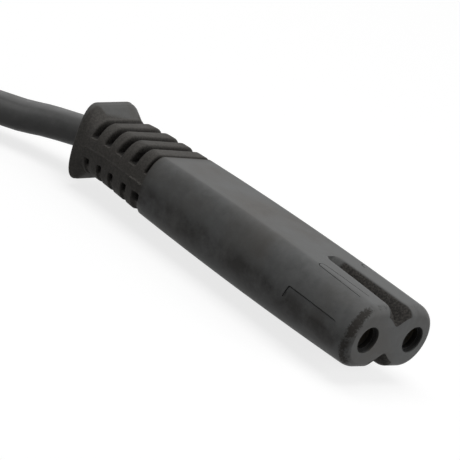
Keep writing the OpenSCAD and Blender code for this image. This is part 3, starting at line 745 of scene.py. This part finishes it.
def new_material(name):
    material = bpy.data.materials.new(name)
    material.use_nodes = True
    tree = material.node_tree
    tree.nodes.clear()
    shader = add(tree, "ShaderNodeBsdfPrincipled")
    add(tree, "ShaderNodeOutputMaterial", Surface=shader.outputs["BSDF"])
    return material, tree, shader


def noise(tree, vector, scale, detail=3.0, roughness=0.55):
    """Noise whose features are about scale metres across."""
    return add(
        tree, "ShaderNodeTexNoise", Vector=vector, Scale=1 / scale, Detail=detail,
        Roughness=roughness,
    ).outputs["Fac"]


def ranged(tree, value, low, high, to_low=0.0, to_high=1.0):
    return add(
        tree, "ShaderNodeMapRange", Value=value, From_Min=low, From_Max=high, To_Min=to_low,
        To_Max=to_high,
    ).outputs["Result"]


def math_node(tree, operation, a, b):
    made = add(tree, "ShaderNodeMath", {"operation": operation})
    for socket, value in zip(made.inputs, (a, b)):
        feed(tree, socket, value)
    return made.outputs["Value"]


def times(tree, a, b):
    return math_node(tree, "MULTIPLY", a, b)


def largest(tree, first, *others):
    for other in others:
        first = math_node(tree, "MAXIMUM", first, other)
    return first


def blended(tree, factor_value, a, b):
    """Colour a to colour b by a factor."""
    made = add(tree, "ShaderNodeMix", {"data_type": "RGBA"}, Factor=factor_value)
    for socket, value in ((made.inputs[6], a), (made.inputs[7], b)):
        plain = not isinstance(value, bpy.types.NodeSocket)
        feed(tree, socket, (*value[:3], 1) if plain else value)
    return made.outputs[2]


def shade(colour_value, share):
    return tuple(c * share for c in colour_value[:3])


def mark(tree, name):
    """The value of a named mark on the surface."""
    return add(tree, "ShaderNodeAttribute", {"attribute_name": name}).outputs["Fac"]


def surfaced(tree, shader, tone, roughness, height, strength, distance):
    """Gives a shader its colour, roughness and bumps."""
    bump = add(tree, "ShaderNodeBump", Strength=strength, Distance=distance, Height=height)
    feed(tree, shader.inputs["Base Color"], tone)
    feed(tree, shader.inputs["Roughness"], roughness)
    feed(tree, shader.inputs["Normal"], bump.outputs["Normal"])


def marked(tree, place, fine, handling_and_shade, tone, relief, roughness):
    """Adds the written marks: painted shade with wear low on the sides, grainy ribs with painted
    shade at the foot of the flange's slope, painted shade in recesses, scuffs and bores painted
    near black as shade.
    """
    recess, ribbed = mark(tree, "recess"), mark(tree, "ribbed")
    speck = noise(tree, place, SPECK, 2, 0.7)
    grains = ranged(tree, speck, 0.38, 0.66)
    patches = ranged(tree, noise(tree, place, MEDIUM, 5, 0.6), 0.38, 0.58, 0.2, 1)
    # Painted shade low on each side, in mottled patches of brown wear
    wear_and_shade = times(tree, times(tree, mark(tree, "wear_and_shade"), patches), WEAR_AND_SHADE_SHARE)
    tone = blended(tree, wear_and_shade, tone, shade(handling_and_shade, WEAR_AND_SHADE_TONE))
    # The ribs darker and grainy, and painted shade over the foot of the flange's slope
    rib_grain_and_foot_shade = blended(tree, grains, *(shade(handling_and_shade, t) for t in RIB_AND_FOOT_SHADE_TONES))
    tone = blended(tree, times(tree, ribbed, RIB_AND_FOOT_SHADE_SHARE), tone, rib_grain_and_foot_shade)
    # Painted shade in the grooves and slots, with a grain
    recess_shade = blended(tree, grains, *(shade(handling_and_shade, t) for t in RECESS_SHADE_TONES))
    tone = blended(tree, recess, tone, recess_shade)
    edge = math_node(tree, "SUBTRACT", mark(tree, "rim"), ranged(tree, fine, 0.35, 0.65, 0.0, 0.5))
    scuff = ranged(tree, math_node(tree, "ADD", edge, times(tree, speck, SCUFF_SPECKS)), 1.0, 1.5)
    tone = blended(tree, scuff, tone, shade(handling_and_shade, SCUFF_TONE))
    # The bores and the deep part of the slots painted near black as shade
    tone = blended(tree, mark(tree, "bore"), tone, BORE_SHADE_COLOUR)
    coarse = largest(tree, recess, ribbed, scuff)
    relief = math_node(tree, "ADD", relief, times(tree, times(tree, speck, COARSE_RELIEF), coarse))
    roughness = math_node(tree, "ADD", roughness, times(tree, coarse, COARSE_ROUGH))
    return tone, relief, roughness


def moulded(name, base, handling_and_shade, rough=0.5, grain=0.12 * MM, marks=False):
    """Moulded plastic: mottled, with a fine grain, darker handling patches and perhaps marks, which
    paint shade into recesses, bores, the flange's foot and low on the sides.
    """
    material, tree, shader = new_material(name)
    place = add(tree, "ShaderNodeTexCoord").outputs["Object"]
    broad = noise(tree, place, BROAD, 4)
    fine = noise(tree, place, FINE, 5, 0.6)
    tone = blended(tree, ranged(tree, fine, *MOTTLE), *(shade(base, t) for t in MOTTLE_TONES))
    tone = blended(tree, ranged(tree, broad, *PATCHES), tone, handling_and_shade)
    relief = noise(tree, place, grain, 3, 0.6)
    roughness = ranged(tree, fine, 0.3, 0.7, rough - 0.05, rough + 0.08)
    if marks:
        tone, relief, roughness = marked(tree, place, fine, handling_and_shade, tone, relief, roughness)
    surfaced(tree, shader, tone, roughness, relief, 0.6, GRAIN_DEPTH)
    shader.inputs["Specular IOR Level"].default_value = SPECULAR
    return material


def metal(name, base, rough):
    """Drawn metal with fine lines along X and a little tarnish."""
    material, tree, shader = new_material(name)
    place = add(tree, "ShaderNodeTexCoord").outputs["Object"]
    stretched = add(tree, "ShaderNodeMapping", Scale=DRAWN, Vector=place).outputs["Vector"]
    lines = noise(tree, stretched, 2 * MM, 4, 0.6)
    stain = ranged(tree, noise(tree, place, 3 * MM, 4), 0.45, 0.75)
    tone = blended(tree, stain, base, shade(base, 0.72))
    roughness = ranged(tree, lines, 0.3, 0.7, rough * 0.7, rough * 1.4)
    surfaced(tree, shader, tone, roughness, lines, 0.3, DRAWN_DEPTH)
    shader.inputs["Metallic"].default_value = 1
    return material


def give(obj, material):
    """Sets a piece's or a node's only material."""
    obj.data.materials.clear()
    obj.data.materials.append(material)


def finish_piece(obj, material, slot, *nodes):
    """A new piece's material, body and the nodes that it stands for. Its slot is not used."""
    give(obj, material)
    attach(obj, "root")
    if nodes:
        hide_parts(*nodes)


CAMERA_PLACE = (0.174287, -0.278139, 0.103243)
CAMERA_BACK = Vector((0.561268, -0.775487, 0.289132))
CAMERA_UP = Vector((-0.481462, -0.021783, 0.876196))
SENSOR_MM, FOCAL_PIXELS, PHOTO_PIXELS = 36, 3000, 460
# A broad lamp above and a weaker one from the viewer's right: place, size and power
LAMPS = {
    "lamp_above": ((-0.05, -0.08, 0.8), 0.7, 3.9),
    "lamp_front": ((0.6, 0.25, 0.35), 0.4, 1.6),
}
LAMP_TARGET = Vector((-0.03, 0, 0))
FLOOR_HALF, FLOOR_GREY, FLOOR_GLOW, AMBIENT = 3.0, 0.3, 0.78, 0.12
WHITE = (1, 1, 1, 1)


class CONNECTOR_OT_stage(bpy.types.Operator):
    """Makes the camera, the pale floor and the soft lights."""

    bl_idname = "connector.stage"
    bl_label = "Camera and stage"

    def execute(self, context):
        scene = context.scene
        scene.view_settings.view_transform = "Standard"
        data = bpy.data.cameras.new("camera")
        data.sensor_width = SENSOR_MM
        data.lens = FOCAL_PIXELS / PHOTO_PIXELS * SENSOR_MM
        data.clip_end = 10
        camera = added("camera", data)
        axes = (CAMERA_UP.cross(CAMERA_BACK), CAMERA_UP, CAMERA_BACK)
        turn = Matrix(axes).transposed().to_4x4()
        camera.matrix_world = Matrix.Translation(CAMERA_PLACE) @ turn
        scene.camera = camera
        make_floor(CAD_BOX[0][2])
        make_lights()
        make_world(scene)
        return {"FINISHED"}


def seen(tree):
    """1 for rays from the camera, straight, from a glossy surface or through a clear one."""
    path = add(tree, "ShaderNodeLightPath").outputs
    return largest(tree, path["Is Camera Ray"], path["Is Glossy Ray"], path["Is Transmission Ray"])


def make_floor(level):
    h = FLOOR_HALF
    corners = [(-h, -h, level), (h, -h, level), (h, h, level), (-h, h, level)]
    floor = mesh_object("floor", corners, [(0, 1, 2, 3)])
    material, tree, shader = new_material("pale_floor")
    shader.inputs["Base Color"].default_value = (FLOOR_GREY, FLOOR_GREY, FLOOR_GREY, 1)
    shader.inputs["Roughness"].default_value = 0.9
    shader.inputs["Specular IOR Level"].default_value = 0.1
    strength = times(tree, seen(tree), FLOOR_GLOW)
    glow = add(tree, "ShaderNodeEmission", Color=WHITE, Strength=strength)
    both = add(tree, "ShaderNodeAddShader")
    for socket, part in zip(both.inputs, (shader.outputs["BSDF"], glow.outputs["Emission"])):
        feed(tree, socket, part)
    output = next(n for n in tree.nodes if n.type == "OUTPUT_MATERIAL")
    feed(tree, output.inputs["Surface"], both.outputs["Shader"])
    give(floor, material)


def make_lights():
    for name, (place, size, power) in LAMPS.items():
        data = bpy.data.lights.new(name, "AREA")
        data.size = size
        data.energy = power
        lamp = added(name, data)
        lamp.location = place
        lamp.rotation_euler = (LAMP_TARGET - Vector(place)).to_track_quat("-Z", "Y").to_euler()


def make_world(scene):
    world = bpy.data.worlds.new("studio")
    scene.world = world
    world.use_nodes = True
    tree = world.node_tree
    tree.nodes.clear()
    strength = ranged(tree, seen(tree), 0, 1, AMBIENT, 1.0)
    lit = add(tree, "ShaderNodeBackground", Color=WHITE, Strength=strength)
    add(tree, "ShaderNodeOutputWorld", Surface=lit.outputs["Background"])


class CONNECTOR_OT_moulding(bpy.types.Operator):
    """Makes the moulded body with its strain relief."""

    bl_idname = "connector.moulding"
    bl_label = "Moulded body"

    def execute(self, context):
        m = context.scene.connector_moulding
        rows = body_rows(m) + relief_rows(m) + flange_rows(m)
        rings = [[placed(m, s, p) for p in whole(upper, lower)] for s, upper, lower in rows]
        body = skinned("moulded_body", rings)
        for makers in ((mouth_cutter, pad_cutter, tongue_cutter), (pad_line_cutter,)):
            cut(body, [make(m, side) for side in (LEFT, RIGHT) for make in makers])
        smooth(body.data, SHARP_MOULDING)
        write_marks(m, body)
        material = moulded("moulding", m.colour, m.dust_and_shade, marks=True)
        finish_piece(body, material, "moulding", "connector_housing")
        return {"FINISHED"}


# Cord: route points in millimetres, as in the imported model

LEAD_ROUTE = [
    (-52.8, -1.2, -0.7), (-55.2, -2, -1.2), (-57.6, -3.2, -1.7), (-60, -4.8, -2.3),
    (-63.4, -7.6, -2.6), (-66.4, -11.2, -2.5), (-68.8, -15.2, -2.4), (-70.4, -19.4, -2.4),
    (-71, -24, -2.4),
]
TAIL_ROUTE = [
    (-76.1, -38.8, 3.5), (-80.4, -43.2, 4.3), (-85.5, -46.4, 5.6), (-91.2, -48.2, 7.2),
    (-97, -48.4, 8.5), (-102.6, -47.1, 9.3), (-108, -44.8, 10), (-113.2, -41.8, 10.6),
    (-118.2, -38.5, 11.1), (-123.2, -35.1, 11.5), (-128.4, -31.9, 12), (-133.6, -28.9, 12.5),
    (-139, -26.4, 12.9), (-144.2, -24.6, 13.2), (-148, -24, 13.3), (-150, -24, 13.3),
]
FLAT_SHARE = 0.35
LEAVE_ANGLE = radians(30)
# Where a turn starts to change lanes on a straight run, and over how much of the run
OUTWARD_FROM, OUTWARD_OVER = 0.4, 0.55
INWARD_FROM, INWARD_OVER = 0.15, 0.7


def smoothed(points, step):
    """Points at about an even step on a smooth curve through the given ones."""
    out = []
    for i in range(len(points) - 1):
        p0, p1 = points[max(i - 1, 0)], points[i]
        p2, p3 = points[i + 1], points[min(i + 2, len(points) - 1)]
        count = max(1, round((p2 - p1).length / step))
        for k in range(count):
            t = k / count
            square = (2 * p0 - 5 * p1 + 4 * p2 - p3) * t**2
            cube = (3 * p1 - p0 - 3 * p2 + p3) * t**3
            out.append(0.5 * (2 * p1 + (p2 - p0) * t + square + cube))
    out.append(points[-1].copy())
    return out


def hank_places(c):
    """The turns of the hank: in on the lower layer, up on the innermost turn, out on the upper."""
    pitch = c.thickness + c.gap
    outer = c.fold + (c.lanes - 1) * pitch
    front = Vector(LEAD_ROUTE[-1]) * MM - Vector((outer, 0, 0))
    middle = c.fold + (c.lanes - 1) * pitch / 2
    quarter_turn = pi / 2 * middle
    marks = [
        turns * quarter_turn + runs * c.run for turns, runs in ((1, 0), (1, 1), (3, 1), (3, 2))
    ]
    lap = marks[3] + quarter_turn
    leave = LEAVE_ANGLE * middle
    rise = c.width + c.gap
    points = []
    laps = 2 * c.lanes - 1
    count = round((laps * lap + leave) / c.step)
    for i in range(1, count + 1):
        along = i * (laps * lap + leave) / count
        n = int(along // lap)
        q = along - n * lap
        outward = eased((q - marks[0] - OUTWARD_FROM * c.run) / (OUTWARD_OVER * c.run))
        up = eased((q - marks[1]) / (2 * quarter_turn))
        inward = eased((q - marks[2] - INWARD_FROM * c.run) / (INWARD_OVER * c.run))
        if n < c.lanes - 1:
            r, z = outer - pitch * (n + inward), 0.0
        elif n == c.lanes - 1:
            r, z = c.fold, rise * up
        else:
            r, z = c.fold + pitch * min(n - c.lanes + outward, c.lanes - 1), rise
        away, back = (min(max(0, q - start), c.run) for start in (marks[0], marks[2]))
        a = -(q - away - back) / middle
        points.append(front + Vector((back - away + r * cos(a), r * sin(a), z)))
    return points


def cord_ring(c, p, ahead, turn, sides=8):
    """A flat ring round p, turned about the route by an angle."""
    level = Vector((0, 0, 1)).cross(ahead).normalized()
    upward = ahead.normalized().cross(level)
    wide = level * cos(turn) + upward * sin(turn)
    thick = upward * cos(turn) - level * sin(turn)
    ring = []
    for k in range(2 * sides):
        a = (k + 0.5) * pi / sides
        flat = copysign((c.width - c.thickness) / 2, cos(a))
        out = wide * (flat + c.thickness / 2 * cos(a))
        ring.append(p + out + thick * c.thickness / 2 * sin(a))
    return ring


def cord_route(m, c):
    """Ring centres and turn angles from the strain relief to the plug."""
    exit_point = placed(m, relief_length(m), (0, 0))
    lead = smoothed([exit_point] + [Vector(p) * MM for p in LEAD_ROUTE], c.step)
    tail = smoothed([Vector(p) * MM for p in TAIL_ROUTE], c.step)
    hank = hank_places(c)
    edge = pi / 2
    turns = [
        edge * eased((i / (len(lead) - 1) - FLAT_SHARE) / (1 - FLAT_SHARE))
        for i in range(len(lead))
    ]
    turns += [edge] * len(hank)
    turns += [edge * (1 - i / (len(tail) - 1)) for i in range(len(tail))]
    return lead + hank + tail, turns


class CONNECTOR_OT_cord(bpy.types.Operator):
    """Makes the flat cord, folded in its hank."""

    bl_idname = "connector.cord"
    bl_label = "Cord"

    def execute(self, context):
        m = context.scene.connector_moulding
        c = context.scene.connector_cord
        path, turns = cord_route(m, c)
        rings = []
        last = len(path) - 1
        for i, p in enumerate(path):
            ahead = path[min(i + 1, last)] - path[max(i - 1, 0)]
            rings.append(cord_ring(c, p, ahead, turns[i]))
        cord = skinned("flat_cord", rings, SHARP_CORD)
        jacket = moulded("cord_jacket", c.colour, shade(c.colour, 0.8), rough=0.42, grain=0.25 * MM)
        finish_piece(cord, jacket, "cord_jacket", "cord_run", "cord_hank", "cord_tail")
        carried = [
            obj for name, obj in frame["nodes"].items()
            if name.startswith("plug_") and name != "plug_body"
        ]
        made = ("plug_moulding", "hank_tie_left", "hank_tie_right")
        carried += [bpy.data.objects[name] for name in made]
        return {"FINISHED"}


# Node trees


class Tree:
    """A Geometry Nodes group, with short ways to add sockets and nodes."""

    def __init__(self, name, **inputs):
        self.group = bpy.data.node_groups.new(name, "GeometryNodeTree")
        sockets = self.group.interface
        sockets.new_socket("Geometry", in_out="OUTPUT", socket_type="NodeSocketGeometry")
        for key, kind in inputs.items():
            sockets.new_socket(key, in_out="INPUT", socket_type="NodeSocket" + kind)
        self.given = self.group.nodes.new("NodeGroupInput").outputs

    def add(self, kind, settings=None, **inputs):
        """Adds a node and returns its first output."""
        return add(self.group, kind, settings, **inputs).outputs[0]

    def end(self, *shapes):
        """Joins the shapes, realizes them and sets the material."""
        join = add(self.group, "GeometryNodeJoinGeometry")
        for shape in shapes:
            self.group.links.new(shape, join.inputs["Geometry"])
        real = self.add("GeometryNodeRealizeInstances", Geometry=join.outputs["Geometry"])
        last = self.add("GeometryNodeSetMaterial", Geometry=real, Material=self.given["Material"])
        add(self.group, "NodeGroupOutput", Geometry=last)
        return self.group


def grown(name, group, mesh, **inputs):
    """A new object that a node tree has made, as a plain mesh."""
    obj = added(name, mesh or bpy.data.meshes.new(name))
    modifier = obj.modifiers.new("grown", "NODES")
    modifier.node_group = group
    for item in group.interface.items_tree:
        if item.in_out == "INPUT" and item.name in inputs:
            modifier[item.identifier] = inputs[item.name]
    apply_modifiers(obj)
    return obj


RIDGE_LENGTH, RIDGE_WIDTH = 0.45, 0.7


def strap_tree():
    """A strap round a rectangle with rounded corners, with ridges across it at an even spacing."""
    tree = Tree(
        "ridged_strap", Deep="Float", High="Float", Corner="Float", Width="Float",
        Thickness="Float", Ridge="Float", Pitch="Float", Material="Material",
    )
    given = tree.given
    rectangle = "GeometryNodeCurvePrimitiveQuadrilateral"
    path = tree.add(rectangle, Width=given["Deep"], Height=given["High"])
    path = tree.add(
        "GeometryNodeFilletCurve", {"mode": "POLY"}, Curve=path, Radius=given["Corner"], Count=6
    )
    section = tree.add(rectangle, Width=given["Thickness"], Height=given["Width"])
    strap = tree.add("GeometryNodeCurveToMesh", Curve=path, Profile_Curve=section)
    spaced = tree.add(
        "GeometryNodeResampleCurve", {"mode": "LENGTH"}, Curve=path, Length=given["Pitch"]
    )
    facing = tree.add(
        "FunctionNodeAlignRotationToVector", {"axis": "X", "pivot_axis": "Z"},
        Vector=tree.add("GeometryNodeInputTangent"),
    )
    size = tree.add(
        "ShaderNodeCombineXYZ", X=times(tree.group, given["Pitch"], RIDGE_LENGTH),
        Y=math_node(tree.group, "ADD", given["Thickness"], given["Ridge"]),
        Z=times(tree.group, given["Width"], RIDGE_WIDTH),
    )
    ridges = tree.add(
        "GeometryNodeInstanceOnPoints", Points=spaced, Rotation=facing,
        Instance=tree.add("GeometryNodeMeshCube", Size=size),
    )
    return tree.end(strap, ridges)


def tail_tree():
    """Ribs along a line, each larger than the last."""
    tree = Tree(
        "tail_ribs", Rib="Geometry", Count="Int", Start="Vector", Step="Vector", Growth="Vector",
        Material="Material",
    )
    given = tree.given
    line = tree.add(
        "GeometryNodeMeshLine", Count=given["Count"], Start_Location=given["Start"],
        Offset=given["Step"],
    )
    size = add(tree.group, "ShaderNodeVectorMath", {"operation": "MULTIPLY_ADD"})
    index = tree.add("GeometryNodeInputIndex")
    for socket, value in zip(size.inputs, (given["Growth"], index, (1, 1, 1))):
        feed(tree.group, socket, value)
    ribs = tree.add(
        "GeometryNodeInstanceOnPoints", Points=line, Instance=given["Rib"], Scale=size.outputs[0]
    )
    return tree.end(ribs)


TIE_CORNER = 2.2 * MM
HEAD_ROUND, WINDOW_FRAME, WINDOW_DEPTH = 0.45 * MM, 0.9 * MM, 1.4 * MM


def tie_head(c, width):
    """A tie's head: a bevelled block with a window for the strap and its cut end."""
    bm = bmesh.new()
    bmesh.ops.create_cube(bm, size=1)
    bmesh.ops.scale(bm, vec=(width, c.tie_head, c.tie_head), verts=bm.verts)
    bmesh.ops.bevel(
        bm, geom=bm.edges[:], offset=HEAD_ROUND, segments=3, profile=0.5, affect="EDGES"
    )
    top = [f for f in bm.faces if f.normal.z > 0.99]
    bmesh.ops.inset_region(bm, faces=top, thickness=WINDOW_FRAME)
    bmesh.ops.translate(bm, vec=(0, 0, -WINDOW_DEPTH), verts=[v for f in top for v in f.verts])
    mesh = bpy.data.meshes.new("tie_head")
    bm.to_mesh(mesh)
    bm.free()
    return mesh


class CONNECTOR_OT_ties(bpy.types.Operator):
    """Makes the two ridged ties round the hank."""

    bl_idname = "connector.ties"
    bl_label = "Ties"

    def execute(self, context):
        c = context.scene.connector_cord
        material = moulded("tie", c.tie_colour, shade(c.tie_colour, 0.7), rough=0.4)
        tree = strap_tree()
        deep = c.lanes * c.thickness + (c.lanes - 1) * c.gap
        for name, side in (("cord_tie_left", LEFT), ("cord_tie_right", RIGHT)):
            low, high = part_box(name)
            width = high[0] - low[0]
            tie = grown(
                "hank_" + name.removeprefix("cord_"), tree, None, Deep=deep + c.tie_thickness,
                High=high[2] - low[2] - c.tie_thickness, Corner=TIE_CORNER, Width=width,
                Thickness=c.tie_thickness - c.tie_ridge, Ridge=c.tie_ridge, Pitch=c.tie_pitch,
                Material=material,
            )
            outer = low[1] if side == LEFT else high[1]
            middle = outer - side * (deep / 2 + c.tie_thickness)
            centre = Vector(((low[0] + high[0]) / 2, middle, (low[2] + high[2]) / 2))
            # The tree draws in the XY plane: X becomes Y, Y becomes Z and Z becomes X
            turn = Matrix(((0, 0, 1), (1, 0, 0), (0, 1, 0))).to_4x4()
            bm = bmesh.new()
            bm.from_mesh(tie.data)
            bmesh.ops.transform(bm, matrix=turn, verts=bm.verts)
            held = len(bm.verts)
            bm.from_mesh(tie_head(c, width))
            bm.verts.ensure_lookup_table()
            out = -side * ((deep + c.tie_head) / 2 + c.tie_thickness)
            bmesh.ops.translate(bm, verts=bm.verts[held:], vec=(0, out, 0))
            bmesh.ops.translate(bm, verts=bm.verts, vec=centre)
            bmesh.ops.remove_doubles(bm, verts=bm.verts, dist=1e-6)
            bm.to_mesh(tie.data)
            bm.free()
            smooth(tie.data, SHARP_TIE)
            finish_piece(tie, material, "tie", name)
        return {"FINISHED"}


SECTION_POWER = 14
SIDE_STEPS = 30
REAR_ROUND, RIB_ROUND, RIB_FLOW, RIB_LEAD, RIB_THICKER = 0.9, 0.3 * MM, 0.1 * MM, 0.8, 0.55


def plug_section(w, t, chamfer, sides=72):
    """A rounded rectangle with bevelled corners, as half sizes, round the plug's axis."""
    points = []
    for k in range(sides):
        a = (k + 0.5) * 2 * pi / sides
        y, z = w * cos(a), t * sin(a)
        walls = (abs(y) / w, abs(z) / t, (abs(y) + abs(z)) / (w + t - chamfer))
        far = sum(v**SECTION_POWER for v in walls) ** (-1 / SECTION_POWER)
        points.append((y * far, z * far))
    return points


def along(points, x, blur):
    """A value at x on a line through the points, with its corners rounded over blur."""
    total = 0.0
    for k in range(-4, 5):
        at = min(max(x + k * blur / 4, points[0][0]), points[-1][0])
        i = next(i for i in range(len(points) - 1) if at <= points[i + 1][0])
        (a, u), (b, v) = points[i], points[i + 1]
        total += mix(u, v, (at - a) / (b - a))
    return total / 9


class CONNECTOR_OT_plug(bpy.types.Operator):
    """Makes the plug's moulded body with its ribbed tail."""

    bl_idname = "connector.plug"
    bl_label = "Plug"

    def execute(self, context):
        g = context.scene.connector_plug
        low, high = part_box("plug_body")
        face_x, end_x = low[0], high[0]
        centre = ((low[1] + high[1]) / 2, (low[2] + high[2]) / 2)
        neck = g.length - g.tail
        shoulder = mix(g.head, g.length, g.shoulder_share)
        wide = [
            (0, g.width / 2), (g.head, g.width / 2),
            (shoulder, g.width * g.shoulder_width / 2), (g.length, g.tail_width / 2),
        ]
        thick = [(0, g.thickness / 2), (g.head, g.thickness / 2), (g.length, g.tail_thickness / 2)]
        corner = (g.width + g.thickness) / 2 - g.bevel
        rings = []
        places = [0, 0.1 * MM, 0.3 * MM, 0.6 * MM, g.face_round]
        places += [mix(g.face_round, neck, t) for t in shares(SIDE_STEPS)]
        for d in places:
            front, rear = 1 - min(1, d / g.face_round), clamp01((d - neck + MM) / MM)
            inset = g.face_round * (1 - sqrt(1 - front**2))
            inset = max(inset, g.face_round * (1 - sqrt(1 - rear**2)) * REAR_ROUND)
            w, t = along(wide, d, g.flow) - inset, along(thick, d, g.flow) - inset
            rings.append((d, w, t, max(g.edge_share * (w + t) / 2, w + t - corner + inset)))
        w, t = g.core_width / 2, g.core_thickness / 2
        round_core = g.core_share * (w + t) / 2
        rings += [(neck + HAIR, w, t, round_core), (g.length, w, t, round_core)]
        body = skinned("plug_moulding", [
            [Vector((face_x + d, centre[0] + y, centre[1] + z)) for y, z in plug_section(w, t, c)]
            for d, w, t, c in rings
        ])
        material = moulded("plug_moulding", g.colour, shade(g.colour, 0.8))
        half, r = g.rib / 2, RIB_ROUND
        w, t = (along(line, g.length - g.rib, RIB_FLOW) for line in (wide, thick))
        chamfer = g.rib_share * (w + t) / 2
        outline = [(-half, r), (-half + 0.3 * r, 0.3 * r), (-half + r, 0)]
        outline += [(-x, inset) for x, inset in outline[::-1]]
        plate = skinned("rib_plate", [
            [Vector((x, y, z)) for y, z in plug_section(w - inset, t - inset, chamfer)]
            for x, inset in outline
        ])
        pitch = (g.tail - g.rib / 3) / g.ribs
        growth = pitch * (wide[2][1] - wide[3][1]) / (g.length - shoulder) / w
        ribs = grown(
            "plug_ribs", tail_tree(), plate.data, Count=g.ribs,
            Start=(end_x - g.rib * RIB_LEAD, *centre), Step=(-pitch, 0, 0),
            Growth=(0, growth, growth * RIB_THICKER), Material=material,
        )
        bpy.data.objects.remove(plate)
        combine(body, "UNION", ribs, use_self=True)
        smooth(body.data, SHARP_PLUG)
        finish_piece(body, material, "moulding", "plug_body")
        return {"FINISHED"}


JACKET_END, JACKET_END_HANDLED = (0.075, 0.075, 0.073), (0.06, 0.06, 0.058)
METAL_ROUGHNESS = {"contact_brass": 0.3, "copper": 0.35, "pin_nickel": 0.22}
# Slot, share of its colour for its darker handling patches, and roughness
INNER_PLASTICS = (("carrier", 0.7, 0.55), ("core_brown", 0.8, 0.5), ("core_blue", 0.8, 0.5))


class CONNECTOR_OT_nodes(bpy.types.Operator):
    """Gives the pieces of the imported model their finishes."""

    bl_idname = "connector.inner_pieces"
    bl_label = "Contacts, cores and pins"

    def execute(self, context):
        brass, copper, nickel = (
            metal(slot, SLOT_COLOUR[slot], rough) for slot, rough in METAL_ROUGHNESS.items()
        )
        carrier, brown, blue = (
            moulded(slot, SLOT_COLOUR[slot], shade(SLOT_COLOUR[slot], handling_and_shade), rough)
            for slot, handling_and_shade, rough in INNER_PLASTICS
        )
        jacket = moulded("jacket_end", JACKET_END, JACKET_END_HANDLED)
        finishes = {
            "contact": brass, "wire": copper, "plug_wire": copper, "plug_pin": nickel,
            "plug_sleeve": carrier, "plug_bridge": carrier, "contact_carrier": carrier,
            "cord_jacket_end": jacket, "plug_jacket_end": jacket, "core_left": brown,
            "core_right": blue, "plug_core_left": brown, "plug_core_right": blue,
        }
        for name, obj in frame["nodes"].items():
            match = [k for k in finishes if name.startswith(k)]
            if match:
                give(obj, finishes[max(match, key=len)])
        return {"FINISHED"}


class CONNECTOR_PT_panel(bpy.types.Panel):
    """Lists the pieces in the 3D view's sidebar."""

    bl_idname = "CONNECTOR_PT_panel"
    bl_label = "Figure eight connector"
    bl_space_type = "VIEW_3D"
    bl_region_type = "UI"
    bl_category = "Connector"

    def draw(self, context):
        for operator in OPERATORS:
            self.layout.operator(operator.bl_idname)
        for name in SETTINGS:
            group = getattr(context.scene, name)
            box = self.layout.box()
            for key in group.bl_rna.properties.keys():
                if key not in ("rna_type", "name"):
                    box.prop(group, key)


SETTINGS = {
    "connector_moulding": ConnectorMouldingSettings,
    "connector_cord": ConnectorCordSettings,
    "connector_plug": ConnectorPlugSettings,
}
OPERATORS = [
    CONNECTOR_OT_stage, CONNECTOR_OT_ties, CONNECTOR_OT_plug, CONNECTOR_OT_cord,
    CONNECTOR_OT_moulding, CONNECTOR_OT_nodes,
]


def register():
    for cls in [*SETTINGS.values(), *OPERATORS, CONNECTOR_PT_panel]:
        bpy.utils.register_class(cls)
    for name, cls in SETTINGS.items():
        setattr(bpy.types.Scene, name, PointerProperty(type=cls))


def unregister():
    for name in SETTINGS:
        delattr(bpy.types.Scene, name)
    for cls in [CONNECTOR_PT_panel, *OPERATORS[::-1], *SETTINGS.values()]:
        bpy.utils.unregister_class(cls)


def main():
    register()
    bpy.ops.connector.stage()
    bpy.ops.connector.ties()
    bpy.ops.connector.plug()
    bpy.ops.connector.cord()
    bpy.ops.connector.moulding()
    bpy.ops.connector.inner_pieces()


if __name__ == "__main__":
    main()
